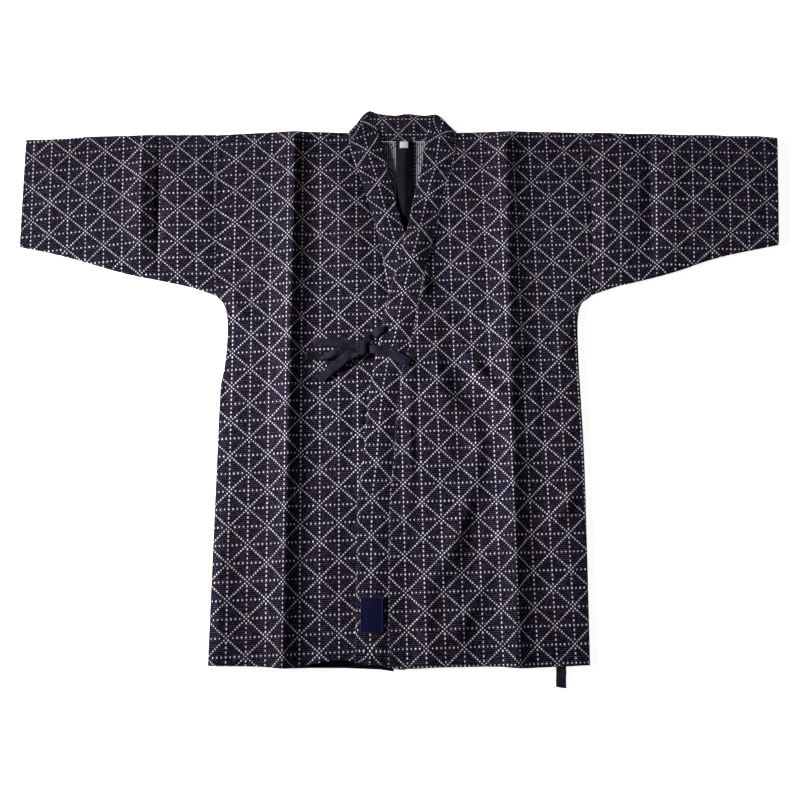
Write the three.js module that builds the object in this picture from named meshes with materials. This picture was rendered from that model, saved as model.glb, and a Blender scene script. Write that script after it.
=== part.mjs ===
import * as THREE from 'three';

// Kendo jacket laid flat with its front up. Millimetres, +X to the wearer's left, +Y to the collar, +Z up.
// The middle of the back is x = 0. Right and left are the wearer's own.

// Cloth and the gaps between its pieces
const clothThick = 2.0;
const collarThick = 3.6;
const tapeThick = 1.2;
const tieThick = 1.5;
const labelThick = 1.0;
const seamGap = 0.3;
const layerGap = 0.5;
const airGap = 1.9;

// A front rests on the back along its sewn edges, and lies a little higher inside them
const sewnLevel = clothThick + seamGap;
const innerLevel = sewnLevel + airGap;
const edgeReach = 14;

// Heights on the body: hem, underarm, bottom of the neck opening, top of the straight rows, shoulder
const hemY = -400;
const underarmY = 168;
const neckBottomY = 290;
const fitStartY = 382;
const shoulderY = 446;

// Pressed folds: a ridge down each front, a valley across each sleeve, the lifted hem
const ridge = { x: 171, high: 8, reach: 30, power: 1.6 };
const valley = { high: 3.2, dip: 26, reach: 95 };
const hemLift = { x: -88, high: 3, wide: 36, deep: 45 };

// How far around itself the left front looks for what lies below
const reachX = 21;
const reachY = 24;
const coverEnd = 130;

// The collar's free edge stands up beside the neck
const neckStand = { right: 9, left: 5, y: 425, reach: 85 };

// Half the body's outline: side seam, underarm curve, armhole seam
const sideLine = [
  { y: -400, right: -281, left: 278 },
  { y: -231, right: -280, left: 280 },
  { y: -100, right: -279, left: 281 },
  { y: 14, right: -278, left: 279 },
  { y: 60, right: -272, left: 278 },
  { y: 101, right: -270, left: 278 },
  { y: 125, right: -271, left: 279 },
  { y: 144, right: -274, left: 282 },
  { y: 157, right: -280, left: 288 },
  { y: 168, right: -290, left: 302 },
  { y: 446, right: -300, left: 311 },
];

// Seam between front and collar, and the collar's free edge, up to the bottom of the neck opening
const frontSeam = [
  { y: -400, right: 27, left: -15 },
  { y: -231, right: 26, left: -15 },
  { y: -155, right: 24, left: -13 },
  { y: -100, right: 21, left: -9 },
  { y: -40, right: 17, left: -5 },
  { y: 14, right: 12, left: 0 },
  { y: 60, right: 5, left: 8 },
  { y: 101, right: -5, left: 22 },
  { y: 168, right: -16, left: 33 },
  { y: 210, right: -23, left: 42 },
  { y: 250, right: -31, left: 52 },
  { y: 290, right: -40, left: 61 },
  { y: 325, right: -51, left: 69 },
  { y: 356, right: -60, left: 76 },
  { y: 382, right: -69, left: 85 },
  { y: 412, right: -80, left: 90 },
  { y: 430, right: -83, left: 91 },
  { y: 446, right: -84, left: 92 },
];
const freeEdge = [
  { y: -400, right: 79, left: -67 },
  { y: -306, right: 78, left: -65 },
  { y: -155, right: 75, left: -64 },
  { y: -100, right: 71, left: -57 },
  { y: -40, right: 65, left: -52 },
  { y: 14, right: 59, left: -47 },
  { y: 60, right: 51, left: -39 },
  { y: 101, right: 45, left: -31 },
  { y: 144, right: 39, left: -23 },
  { y: 168, right: 35, left: -17 },
  { y: 210, right: 27, left: -7 },
  { y: 250, right: 16, left: 4 },
];

// Free edge beside the neck, one row for each station of the front seam above the opening's bottom
const neckEdge = [
  { seamY: 290, rightX: 4, rightY: 288, leftX: 14, leftY: 288 },
  { seamY: 325, rightX: -5, rightY: 322, leftX: 21, leftY: 326 },
  { seamY: 356, rightX: -12, rightY: 358, leftX: 28, leftY: 357 },
  { seamY: 382, rightX: -20, rightY: 387, leftX: 35, leftY: 384 },
  { seamY: 412, rightX: -27, rightY: 420, leftX: 39, leftY: 418 },
  { seamY: 430, rightX: -35, rightY: 446, leftX: 45, leftY: 442 },
  { seamY: 446, rightX: -48, rightY: 484, leftX: 59, leftY: 478 },
];

// Rows shared by the fronts, the collar's long stretches and the back
const stations = [
  -400, -366, -306, -231, -155, -100, -40, 14, 60, 101, 125, 144, 157, 168, 210, 250, 290, 325, 356, 382, 412,
  430, 446,
];

// Hems and shoulders, from the wearer's right to the left
const frontHem = [
  { x: -281, y: -398 }, { x: -205, y: -399 }, { x: -171, y: -401 }, { x: -126, y: -395 },
  { x: -88, y: -389.5 }, { x: -60, y: -393 }, { x: -15, y: -400 }, { x: 12, y: -402 },
  { x: 60, y: -400 }, { x: 146, y: -399 }, { x: 176, y: -401 }, { x: 212, y: -400 }, { x: 278, y: -397 },
];
const backHem = [
  { x: -281, y: -398 }, { x: -171, y: -399.5 }, { x: -20, y: -400 }, { x: 3, y: -404 }, { x: 24, y: -400 },
  { x: 278, y: -396.5 },
];
const shoulder = [
  { x: -300, y: 442 }, { x: -175, y: 449 }, { x: -84, y: 446 }, { x: 92, y: 446 }, { x: 184, y: 449 },
  { x: 311, y: 446 },
];
const backNeck = [
  { x: -300, y: 442 }, { x: -175, y: 449 }, { x: -84, y: 446 }, { x: -60, y: 431 }, { x: 68, y: 431 },
  { x: 92, y: 446 }, { x: 184, y: 449 }, { x: 311, y: 446 },
];

// Top edge of the collar behind the neck
const collarTop = [
  { x: -80, y: 450 }, { x: -49, y: 484 }, { x: -36, y: 479 }, { x: -7, y: 476 }, { x: 10, y: 479 },
  { x: 41, y: 476 }, { x: 60, y: 478 }, { x: 88, y: 450 },
];

// Sleeves from armhole to cuff: the fold along the top and the seam along the underside
const sleeveRight = [
  { topX: -300.3, topY: 442, lowX: -290.3, lowY: 167 },
  { topX: -322, topY: 442, lowX: -312, lowY: 175 },
  { topX: -350, topY: 442, lowX: -338, lowY: 183 },
  { topX: -384, topY: 442, lowX: -370, lowY: 190 },
  { topX: -410, topY: 442, lowX: -394, lowY: 195 },
  { topX: -436, topY: 441, lowX: -420, lowY: 200 },
  { topX: -470, topY: 440, lowX: -455, lowY: 209 },
  { topX: -505, topY: 439, lowX: -495, lowY: 221 },
  { topX: -540, topY: 436, lowX: -533, lowY: 232 },
  { topX: -575, topY: 434, lowX: -570, lowY: 241 },
  { topX: -610, topY: 433, lowX: -606, lowY: 248 },
];
const sleeveLeft = [
  { topX: 311.3, topY: 446, lowX: 302.3, lowY: 168 },
  { topX: 332, topY: 446, lowX: 324, lowY: 176 },
  { topX: 356, topY: 445, lowX: 349, lowY: 184 },
  { topX: 384, topY: 444, lowX: 374, lowY: 190 },
  { topX: 410, topY: 444, lowX: 398, lowY: 196 },
  { topX: 436, topY: 443, lowX: 424, lowY: 203 },
  { topX: 470, topY: 442, lowX: 455, lowY: 213 },
  { topX: 505, topY: 442, lowX: 488, lowY: 225 },
  { topX: 543, topY: 440, lowX: 528, lowY: 236 },
  { topX: 580, topY: 440, lowX: 566, lowY: 244 },
  { topX: 616, topY: 437, lowX: 604, lowY: 252 },
];
const sleeveCrease = 4;

// Tapes, label and size tag: x and y of their middles, widths and lengths
const backTape = { x: 7.5, wide: 29, top: 430.5, bottom: 0 };
const hemTape = [
  { x: -176, low: -402, high: -382 }, { x: -132, low: -401, high: -382 }, { x: -81, low: -401, high: -382 },
  { x: -29, low: -403, high: -384 }, { x: -9, low: -406, high: -388 },
];
const sizeTag = { x: 6.5, y: 424.5, wide: 15, long: 12 };
const label = { x: -41.5, y: -325, wide: 34, long: 52 };

// Ties: flat tape, its middle line from root to end. lift is the height over what it lies on
const tieWide = 13.5;
const innerTieWide = 15;
const knot = { x: -59, y: 81.5, wide: 18, long: 23, base: 6.7, top: 14, round: 3, square: 0.6 };
const tieRightPath = [
  { x: -146, y: 70.5, lift: 0 }, { x: -130, y: 70.5, lift: 0 }, { x: -115, y: 71, lift: 0 },
  { x: -98, y: 73, lift: 0 }, { x: -82, y: 75, lift: 0 }, { x: -68.4, y: 76, lift: 0.2 },
];
const tieLeftPath = [
  { x: -49.6, y: 79, lift: 3.2 }, { x: -40, y: 79, lift: 0 }, { x: -28, y: 77, lift: 0 },
  { x: -16, y: 73, lift: 0 }, { x: -4, y: 68.5, lift: 0 }, { x: 8, y: 64, lift: 0 },
  { x: 18, y: 60.5, lift: 0 },
];
const tailLowPath = [
  { x: -71.5, y: 68, lift: 2.2 }, { x: -82, y: 61, lift: 2.2 }, { x: -94, y: 53.5, lift: 1.4 },
  { x: -108, y: 43.5, lift: 0.3 }, { x: -122, y: 33, lift: 0 },
];
const tailHighPath = [
  { x: -50, y: 97, lift: 3 }, { x: -42, y: 102, lift: 0.5 }, { x: -33, y: 108, lift: 0 },
  { x: -23.5, y: 115.5, lift: 0 },
];
const loop = { start: -68.4, end: -133, startY: 85.5, endY: 90, low: 9.5, high: 12.5 };
const innerTiePath = [
  { x: 256, y: -30, z: 3.05 }, { x: 254, y: -110, z: 3.05 }, { x: 248, y: -200, z: 3.05 },
  { x: 241, y: -300, z: 3.05 }, { x: 236, y: -370, z: 3.05 }, { x: 235.5, y: -396, z: 3.05 },
  { x: 235.5, y: -403, z: 2.9 }, { x: 235.5, y: -410, z: 1.4 }, { x: 235, y: -419, z: 0.9 },
  { x: 235, y: -429, z: 0.9 },
];

// Cells across each piece
const sideColumns = [0, 0.17, 0.58];
const seamCells = 10;
const collarCells = 4;
const backColumns = {
  right: [-26, -60, -84, -130, -175, -225],
  left: [38, 68, 92, 138, 184, 245],
};
const ridgeColumns = [-30, -20, -10, 0, 10, 20, 30];

// Reads a table's column at a place along it, in straight stretches
function along(table, key, column, place) {
  const first = table[0];
  const last = table[table.length - 1];
  if (place <= first[key]) return first[column];
  if (place >= last[key]) return last[column];
  const next = table.findIndex((row) => row[key] > place);
  const a = table[next - 1];
  const b = table[next];
  return a[column] + ((b[column] - a[column]) * (place - a[key])) / (b[key] - a[key]);
}

function smooth(value) {
  const t = Math.min(Math.max(value, 0), 1);
  return t * t * (3 - 2 * t);
}

function blend(a, b, t) {
  return a + (b - a) * t;
}

// Height of a front's underside before it meets the other front
function frontRest(x, y, side) {
  const fromSide = Math.abs(along(sideLine, 'y', side, y) - x) + Math.max(0, y - underarmY) * 2;
  const fromShoulder = along(shoulder, 'x', 'y', x) - y;
  const inside = smooth(Math.min(fromSide, fromShoulder) / edgeReach);
  const away = Math.abs(Math.abs(x) - ridge.x);
  const fold = ridge.high * Math.max(0, 1 - away / ridge.reach) ** ridge.power;
  const alongHem = Math.exp(-(((x - hemLift.x) / hemLift.wide) ** 2));
  const hemRise = hemLift.high * alongHem * Math.exp(-(y - hemY) / hemLift.deep);
  return sewnLevel + inside * (airGap + fold) + hemRise;
}

// How far the collar's free edge stands up at a place on it, 0 at the seam and 1 at the free edge
function standUp(side, across, y) {
  return neckStand[side] * across ** 2 * smooth(1 - Math.abs(y - neckStand.y) / neckStand.reach);
}

// Highest point of the right front and its collar at one place
function underTop(x, y) {
  const seamX = along(frontSeam, 'y', 'right', y);
  const freeX = along(freeEdge, 'y', 'right', y);
  if (x < seamX) return frontRest(x, y, 'right') + clothThick;
  if (x < freeX) return innerLevel + collarThick;
  return innerLevel - layerGap;
}

// Underside of the left front and its collar: over everything within reach of the place
function overRest(x, y) {
  const heights = [];
  for (const stepX of [-1, -0.5, 0, 0.5, 1]) {
    for (const stepY of [-1, 0, 1]) heights.push(underTop(x + stepX * reachX, y + stepY * reachY));
  }
  return Math.max(...heights) + layerGap;
}

// Top of the jacket's cloth at a place on its front, for what lies on it
function clothTop(x, y) {
  const seamX = along(frontSeam, 'y', 'left', y);
  const freeX = along(freeEdge, 'y', 'left', y);
  if (x < freeX) return frontRest(x, y, 'right') + clothThick;
  const thick = x < seamX ? collarThick : clothThick;
  return overRest(x, y) + thick;
}

// A closed wall over a grid. place gives x, y, the underside and the top at each corner
function slab(columns, rows, place) {
  const vertices = [];
  for (const level of ['low', 'high']) {
    for (let row = 0; row <= rows; row += 1) {
      for (let column = 0; column <= columns; column += 1) {
        const point = place(column, row);
        vertices.push(point.x, point.y, point[level]);
      }
    }
  }
  const index = [];
  const layer = (rows + 1) * (columns + 1);
  const at = (level, row, column) => level * layer + row * (columns + 1) + column;
  const quad = (a, b, c, d) => index.push(a, b, c, a, c, d);
  for (let row = 0; row < rows; row += 1) {
    for (let column = 0; column < columns; column += 1) {
      quad(at(1, row, column), at(1, row, column + 1), at(1, row + 1, column + 1), at(1, row + 1, column));
      quad(at(0, row + 1, column + 1), at(0, row, column + 1), at(0, row, column), at(0, row + 1, column));
    }
    quad(at(0, row + 1, 0), at(0, row, 0), at(1, row, 0), at(1, row + 1, 0));
    quad(at(0, row, columns), at(0, row + 1, columns), at(1, row + 1, columns), at(1, row, columns));
  }
  for (let column = 0; column < columns; column += 1) {
    quad(at(0, 0, column), at(0, 0, column + 1), at(1, 0, column + 1), at(1, 0, column));
    quad(at(0, rows, column + 1), at(0, rows, column), at(1, rows, column), at(1, rows, column + 1));
  }
  return closedGeometry(vertices, index);
}

// A closed body from rings of points: solid with capped ends, or a tube where inner rings are given
function loft(outer, inner) {
  const around = outer[0].length;
  const vertices = [];
  const index = [];
  for (const ring of inner ? [...outer, ...inner] : outer) ring.forEach((p) => vertices.push(p.x, p.y, p.z));
  const at = (ring, spot) => ring * around + (spot % around);
  const quad = (a, b, c, d) => index.push(a, b, c, a, c, d);
  for (let ring = 0; ring < outer.length - 1; ring += 1) {
    for (let spot = 0; spot < around; spot += 1) {
      quad(at(ring, spot), at(ring + 1, spot), at(ring + 1, spot + 1), at(ring, spot + 1));
      if (inner) {
        const hole = ring + outer.length;
        quad(at(hole, spot), at(hole, spot + 1), at(hole + 1, spot + 1), at(hole + 1, spot));
      }
    }
  }
  const last = outer.length - 1;
  if (inner) {
    for (let spot = 0; spot < around; spot += 1) {
      quad(at(0, spot), at(0, spot + 1), at(outer.length, spot + 1), at(outer.length, spot));
      const hole = last + outer.length;
      quad(at(last, spot), at(hole, spot), at(hole, spot + 1), at(last, spot + 1));
    }
  } else {
    for (let spot = 1; spot < around - 1; spot += 1) {
      index.push(at(0, 0), at(0, spot), at(0, spot + 1));
      index.push(at(last, 0), at(last, spot + 1), at(last, spot));
    }
  }
  return closedGeometry(vertices, index);
}

// Turns a closed body's faces outwards if its volume comes out negative
function closedGeometry(vertices, index) {
  const corner = (i) => new THREE.Vector3().fromArray(vertices, i * 3);
  let volume = 0;
  for (let i = 0; i < index.length; i += 3) {
    volume += corner(index[i]).dot(corner(index[i + 1]).cross(corner(index[i + 2])));
  }
  if (volume < 0) index.reverse();
  const geometry = new THREE.BufferGeometry();
  geometry.setAttribute('position', new THREE.Float32BufferAttribute(vertices, 3));
  geometry.setIndex(index);
  geometry.computeVertexNormals();
  return geometry;
}

// Columns of a front from its side seam to its collar seam, close together on the ridge
function frontColumns(sideX, seamX, ridgeX) {
  const outward = Math.sign(sideX - ridgeX);
  const fold = ridgeColumns.map((step) => ridgeX - outward * step);
  const first = fold[0];
  const last = fold[fold.length - 1];
  const side = sideColumns.map((t) => blend(sideX, first, t));
  const seam = Array.from({ length: seamCells }, (_, i) => blend(last, seamX, (i + 1) / seamCells));
  return [...side, ...fold, ...seam];
}

// Moves the lowest row onto a hem's line and the top rows onto the shoulder's
function fitEnds(x, y, hem, top) {
  const topY = along(top, 'x', 'y', x);
  if (y === hemY) return along(hem, 'x', 'y', x);
  if (y <= fitStartY) return y;
  return blend(fitStartY, topY, (y - fitStartY) / (shoulderY - fitStartY));
}

function frontPanel(side) {
  const away = side === 'right' ? -1 : 1;
  const rows = stations.length - 1;
  const columns = sideColumns.length + ridgeColumns.length - 1 + seamCells;
  return slab(columns, rows, (column, row) => {
    const y = stations[row];
    const sideX = along(sideLine, 'y', side, y);
    const seamX = along(frontSeam, 'y', side, y) + (away * seamGap) / 2;
    const xs = frontColumns(sideX, seamX, away * ridge.x);
    const x = side === 'right' ? xs[column] : xs[columns - column];
    const fittedY = fitEnds(x, y, frontHem, shoulder);
    const rest = frontRest(x, fittedY, side);
    const covers = side === 'left' && x < coverEnd;
    const low = covers ? Math.max(rest, overRest(x, fittedY)) : rest;
    return { x, y: fittedY, low, high: low + clothThick };
  });
}

// One half of the back, from its side and armhole seams to the seam down its middle
function backPanel(side) {
  const away = side === 'right' ? -1 : 1;
  const inner = [backTape.x + (away * seamGap) / 2, ...backColumns[side]];
  return slab(inner.length, stations.length - 1, (column, row) => {
    const y = stations[row];
    const xs = [...inner, along(sideLine, 'y', side, y)];
    const x = side === 'right' ? xs[inner.length - column] : xs[column];
    return { x, y: fitEnds(x, y, backHem, backNeck), low: 0, high: clothThick };
  });
}

// A long stretch of collar, from the fold beside the neck to the hem
function collarFront(side) {
  const away = side === 'right' ? 1 : -1;
  return slab(collarCells, stations.length - 1, (column, row) => {
    const across = side === 'right' ? column / collarCells : 1 - column / collarCells;
    const y = stations[row];
    const neck = neckEdge.find((spot) => spot.seamY === y);
    const seamX = along(frontSeam, 'y', side, y) + (away * seamGap) / 2;
    const freeX = neck ? neck[`${side}X`] : along(freeEdge, 'y', side, y);
    const freeY = neck ? neck[`${side}Y`] : y;
    const x = blend(seamX, freeX, across);
    const placeY = blend(y, freeY, across);
    const fittedY = row === 0 ? along(frontHem, 'x', 'y', x) : placeY;
    const stand = standUp(side, across, placeY);
    const under = side === 'left' && y <= neckBottomY ? overRest(x, fittedY) : innerLevel;
    const low = Math.max(under, innerLevel) + stand;
    return { x, y: fittedY, low, high: low + collarThick };
  });
}

// The stretch of collar behind the neck, its inner face up
function collarBack() {
  const xs = [-80, -60, -49, -36, -21, -7, 10, 26, 41, 60, 68, 88];
  return slab(xs.length - 1, 2, (column, row) => {
    const x = xs[column];
    const seamY = along(backNeck, 'x', 'y', x) + seamGap;
    const topY = along(collarTop, 'x', 'y', x);
    return { x, y: blend(seamY, topY, row / 2), low: 0, high: collarThick };
  });
}

// A sleeve: a flattened tube, open at armhole and cuff, with a valley pressed across its upper layer
function sleeve(table) {
  const flat = 8;
  const curve = 4;
  const ring = (row, inset) => {
    const place = table[row];
    const low = new THREE.Vector2(place.lowX, place.lowY);
    const top = new THREE.Vector2(place.topX, place.topY);
    const crease = table[sleeveCrease];
    const fromCrease = Math.abs(place.topX - crease.topX);
    const swell = smooth(fromCrease / valley.dip) * (1 - smooth((fromCrease - valley.dip) / valley.reach));
    const height = innerLevel + clothThick;
    const radius = height / 2 - inset;
    const span = top.distanceTo(low);
    const heading = top.clone().sub(low).divideScalar(span);
    const point = (distance, z) => {
      const spot = low.clone().addScaledVector(heading, distance);
      return new THREE.Vector3(spot.x, spot.y, z);
    };
    const points = [];
    const near = height / 2;
    for (let i = 0; i <= flat; i += 1) points.push(point(blend(near, span - near, i / flat), inset));
    for (let i = 1; i < curve; i += 1) {
      const angle = -Math.PI / 2 + (Math.PI * i) / curve;
      points.push(point(span - near + radius * Math.cos(angle), height / 2 + radius * Math.sin(angle)));
    }
    for (let i = 0; i <= flat; i += 1) {
      const rise = valley.high * swell * Math.sin((Math.PI * i) / flat);
      points.push(point(blend(span - near, near, i / flat), height - inset + rise));
    }
    for (let i = 1; i < curve; i += 1) {
      const angle = Math.PI / 2 + (Math.PI * i) / curve;
      points.push(point(near + radius * Math.cos(angle), height / 2 + radius * Math.sin(angle)));
    }
    return points;
  };
  const rows = table.map((_, row) => row);
  return loft(rows.map((row) => ring(row, 0)), rows.map((row) => ring(row, clothThick)));
}

// A flat tape along a line of points. side is the direction of its width, worked out where it lies flat
function ribbon(points, wide, thick, side) {
  const rings = points.map((point, i) => {
    const before = points[Math.max(i - 1, 0)];
    const after = points[Math.min(i + 1, points.length - 1)];
    const heading = after.clone().sub(before).normalize();
    const across = side ? side.clone() : new THREE.Vector3(-heading.y, heading.x, 0).normalize();
    const up = heading.clone().cross(across).normalize();
    const corner = (a, b) => {
      const edge = point.clone().addScaledVector(across, (a * wide) / 2);
      return edge.addScaledVector(up, (b * thick) / 2);
    };
    return [corner(-1, -1), corner(1, -1), corner(1, 1), corner(-1, 1)];
  });
  return loft(rings);
}

// A tie that lies on the front: its points are set on the highest cloth under its width
function tieOnFront(path) {
  const reach = tieWide / 2 + 4;
  const turns = [0, 1, 2, 3, 4, 5, 6, 7].map((i) => (i * Math.PI) / 4);
  const points = path.map((spot) => {
    const around = turns.map((turn) => {
      return clothTop(spot.x + reach * Math.cos(turn), spot.y + reach * Math.sin(turn));
    });
    const base = Math.max(clothTop(spot.x, spot.y), ...around);
    return new THREE.Vector3(spot.x, spot.y, base + layerGap + tieThick / 2 + spot.lift);
  });
  return ribbon(points, tieWide, tieThick);
}

// The bow's one loop: a tape that runs out from the knot, turns over and comes back above itself
function tieLoop() {
  const middle = (loop.low + loop.high) / 2;
  const radius = (loop.high - loop.low) / 2;
  const runs = [0, 0.33, 0.66, 1];
  const end = loop.end + radius;
  const yAt = (x) => blend(loop.startY, loop.endY, (x - loop.start) / (loop.end - loop.start));
  const point = (x, z) => new THREE.Vector3(x, yAt(x), z);
  const out = runs.map((t) => point(blend(loop.start, end, t), loop.low));
  const turn = [0.25, 0.5, 0.75].map((t) => {
    const angle = -Math.PI / 2 - Math.PI * t;
    return point(end + radius * Math.cos(angle), middle + radius * Math.sin(angle));
  });
  const back = runs.map((t) => point(blend(end, loop.start, t), loop.high));
  return ribbon([...out, ...turn, ...back], tieWide, tieThick, new THREE.Vector3(0, 1, 0));
}

// The knot: one turn of tape drawn round the others, a block with rounded edges
function tieKnot() {
  const middle = (knot.base + knot.top) / 2;
  const halfHigh = (knot.top - knot.base) / 2;
  const steps = 12;
  const ring = (x, shrink) => Array.from({ length: steps }, (_, i) => {
    const turn = (i * Math.PI * 2) / steps;
    const bulge = (value) => Math.sign(value) * Math.abs(value) ** knot.square;
    const y = knot.y + (knot.long / 2 - shrink) * bulge(Math.cos(turn));
    return new THREE.Vector3(x, y, middle + (halfHigh - shrink) * bulge(Math.sin(turn)));
  });
  const half = knot.wide / 2;
  return loft([
    ring(knot.x - half, knot.round / 2), ring(knot.x - half + knot.round, 0),
    ring(knot.x + half - knot.round, 0), ring(knot.x + half, knot.round / 2),
  ]);
}

// A small flat piece sewn on a surface whose height is given
function patch(place, thick, surface) {
  const cells = 2;
  return slab(cells, cells, (column, row) => {
    const x = place.x + place.wide * (column / cells - 0.5);
    const y = place.y + place.long * (row / cells - 0.5);
    const low = surface(x, y) + layerGap;
    return { x, y, low, high: low + thick };
  });
}

function centreTape() {
  const rows = 6;
  return slab(2, rows, (column, row) => {
    const x = backTape.x + backTape.wide * (column / 2 - 0.5);
    const y = blend(backTape.bottom, backTape.top, row / rows);
    return { x, y, low: sewnLevel, high: sewnLevel + tapeThick };
  });
}

function hemFacing() {
  return slab(hemTape.length - 1, 1, (column, row) => {
    const spot = hemTape[column];
    return { x: spot.x, y: row === 0 ? spot.low : spot.high, low: sewnLevel, high: sewnLevel + tapeThick };
  });
}

// Colours of the finished cloth, tapes and label
const weave = { color: 0x2c2836, roughness: 0.95, metalness: 0 };
const darkTape = { color: 0x1d2029, roughness: 0.8, metalness: 0 };
const blueLabel = { color: 0x262a6e, roughness: 0.55, metalness: 0 };
const whiteTag = { color: 0xe9e8e6, roughness: 0.6, metalness: 0 };

const jacket = new THREE.Group();

function add(name, geometry, finish) {
  const mesh = new THREE.Mesh(geometry, new THREE.MeshStandardMaterial(finish));
  mesh.name = name;
  jacket.add(mesh);
}

for (const side of ['right', 'left']) {
  add(`back_${side}`, backPanel(side), weave);
  add(`front_${side}`, frontPanel(side), weave);
  add(`collar_${side}`, collarFront(side), weave);
}
add('sleeve_right', sleeve(sleeveRight), weave);
add('sleeve_left', sleeve(sleeveLeft), weave);
add('collar_back', collarBack(), weave);
add('back_tape', centreTape(), darkTape);
add('hem_tape', hemFacing(), darkTape);
add('size_tag', patch(sizeTag, labelThick, () => sewnLevel + tapeThick), whiteTag);
add('label', patch(label, labelThick, clothTop), blueLabel);
add('tie_right', tieOnFront(tieRightPath), darkTape);
add('tie_left', tieOnFront(tieLeftPath), darkTape);
add('tie_tail_low', tieOnFront(tailLowPath), darkTape);
add('tie_tail_high', tieOnFront(tailHighPath), darkTape);
add('tie_loop', tieLoop(), darkTape);
add('tie_knot', tieKnot(), darkTape);
const innerTiePoints = innerTiePath.map((spot) => new THREE.Vector3(spot.x, spot.y, spot.z));
add('inner_tie', ribbon(innerTiePoints, innerTieWide, tieThick), darkTape);

// The frame's origin is the middle of the jacket's box, on the surface that it lies on
const box = new THREE.Box3().setFromObject(jacket);
const middle = box.getCenter(new THREE.Vector3());
jacket.position.set(-middle.x, -middle.y, -box.min.z);

export default jacket;
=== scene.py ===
import math

import bpy
from mathutils import Matrix, Vector, noise


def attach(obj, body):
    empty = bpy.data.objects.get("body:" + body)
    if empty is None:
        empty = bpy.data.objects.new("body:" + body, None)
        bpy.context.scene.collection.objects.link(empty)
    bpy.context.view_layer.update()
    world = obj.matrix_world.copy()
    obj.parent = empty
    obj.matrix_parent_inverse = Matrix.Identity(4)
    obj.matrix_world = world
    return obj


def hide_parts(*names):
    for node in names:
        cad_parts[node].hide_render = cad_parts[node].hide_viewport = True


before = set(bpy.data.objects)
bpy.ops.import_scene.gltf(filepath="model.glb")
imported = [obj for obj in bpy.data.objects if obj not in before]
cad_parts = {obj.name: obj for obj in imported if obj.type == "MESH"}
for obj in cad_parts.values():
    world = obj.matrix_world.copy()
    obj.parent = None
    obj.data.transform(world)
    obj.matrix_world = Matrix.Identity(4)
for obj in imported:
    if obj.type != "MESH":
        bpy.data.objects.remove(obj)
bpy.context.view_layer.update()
print("frame loaded:", len(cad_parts), "solids")

# The jacket was drafted in millimetres about the middle of its back, its front up and its hem towards -Y.
# Right and left are the wearer's own.
draftToFrame = Vector((-3.0, -27.5, 0.0))

cloth = {"thick": 2.0, "collarThick": 3.6, "tapeThick": 1.2, "labelThick": 1.0}
levels = {"sewn": 2.3, "inner": 4.2, "gap": 0.5, "edgeReach": 14}
body = {"hem": -400, "underarm": 168, "neckBottom": 290, "fitStart": 382, "shoulder": 446}

# y, wearer's right, wearer's left
sideLine = [
    (-400, -281, 278), (-231, -280, 280), (-100, -279, 281), (14, -278, 279), (60, -272, 278),
    (101, -270, 278), (125, -271, 279), (144, -274, 282), (157, -280, 288), (168, -290, 302),
    (446, -300, 311),
]
frontSeam = [
    (-400, 27, -15), (-231, 26, -15), (-155, 24, -13), (-100, 21, -9), (-40, 17, -5), (14, 12, 0),
    (60, 5, 8), (101, -5, 22), (168, -16, 33), (210, -23, 42), (250, -31, 52), (290, -40, 61),
    (325, -51, 69), (356, -60, 76), (382, -69, 85), (412, -80, 90), (430, -83, 91), (446, -84, 92),
]
freeEdge = [
    (-400, 79, -67), (-306, 78, -65), (-155, 75, -64), (-100, 71, -57), (-40, 65, -52), (14, 59, -47),
    (60, 51, -39), (101, 45, -31), (144, 39, -23), (168, 35, -17), (210, 27, -7), (250, 16, 4),
    (288, 4, 14), (322, -5, 20), (358, -12, 28), (387, -20, 35), (420, -27, 40), (446, -35, 46),
    (484, -48, 60),
]
# Seam height, then the free edge's x and y beside the neck, right and left
neckEdge = [
    (250, 16, 250, 4, 250), (290, 4, 288, 14, 288), (325, -5, 322, 21, 326), (356, -12, 358, 28, 357),
    (382, -20, 387, 35, 384), (412, -27, 420, 39, 418), (430, -35, 446, 45, 442), (446, -48, 484, 56.5, 478),
]
# x, y
frontHem = [
    (-281, -398), (-205, -399), (-171, -401), (-126, -395), (-88, -389.5), (-60, -393), (-15, -400),
    (12, -402), (60, -400), (146, -399), (176, -401), (212, -400), (278, -397),
]
backHem = [(-281, -398), (-171, -399.5), (-20, -400), (3, -404), (24, -400), (278, -396.5)]
shoulderLine = [(-300, 442), (-175, 449), (-84, 446), (92, 446), (184, 449), (311, 446)]
backNeck = [(-300, 442), (-175, 449), (-84, 446), (-60, 431), (68, 431), (92, 446), (184, 449), (311, 446)]
collarTop = [
    (-80, 450), (-49, 484), (-36, 479), (-7, 476), (10, 479), (41, 476), (57.5, 478), (88, 450),
]
# Distance from the body's middle, then the sleeve's upper fold x and y and its lower seam x and y
sleeveRightRows = [
    (300, -300.3, 442, -290.3, 167), (322, -322, 442, -312, 175), (350, -350, 442, -338, 183),
    (384, -384, 442, -370, 190), (410, -410, 442, -394, 195), (436, -436, 441, -420, 200),
    (470, -470, 440, -455, 209), (505, -505, 439, -495, 221), (540, -540, 436, -533, 232),
    (575, -575, 434, -570, 241), (610, -610, 433, -606, 248),
]
sleeveLeftRows = [
    (311, 311.3, 446, 302.3, 168), (332, 332, 446, 324, 176), (356, 356, 445, 349, 184),
    (384, 384, 444, 374, 190), (410, 410, 444, 398, 196), (436, 436, 443, 424, 203),
    (470, 470, 442, 455, 213), (505, 505, 442, 488, 225), (543, 543, 440, 528, 236),
    (580, 580, 440, 566, 244), (616, 616, 437, 604, 252),
]


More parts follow.
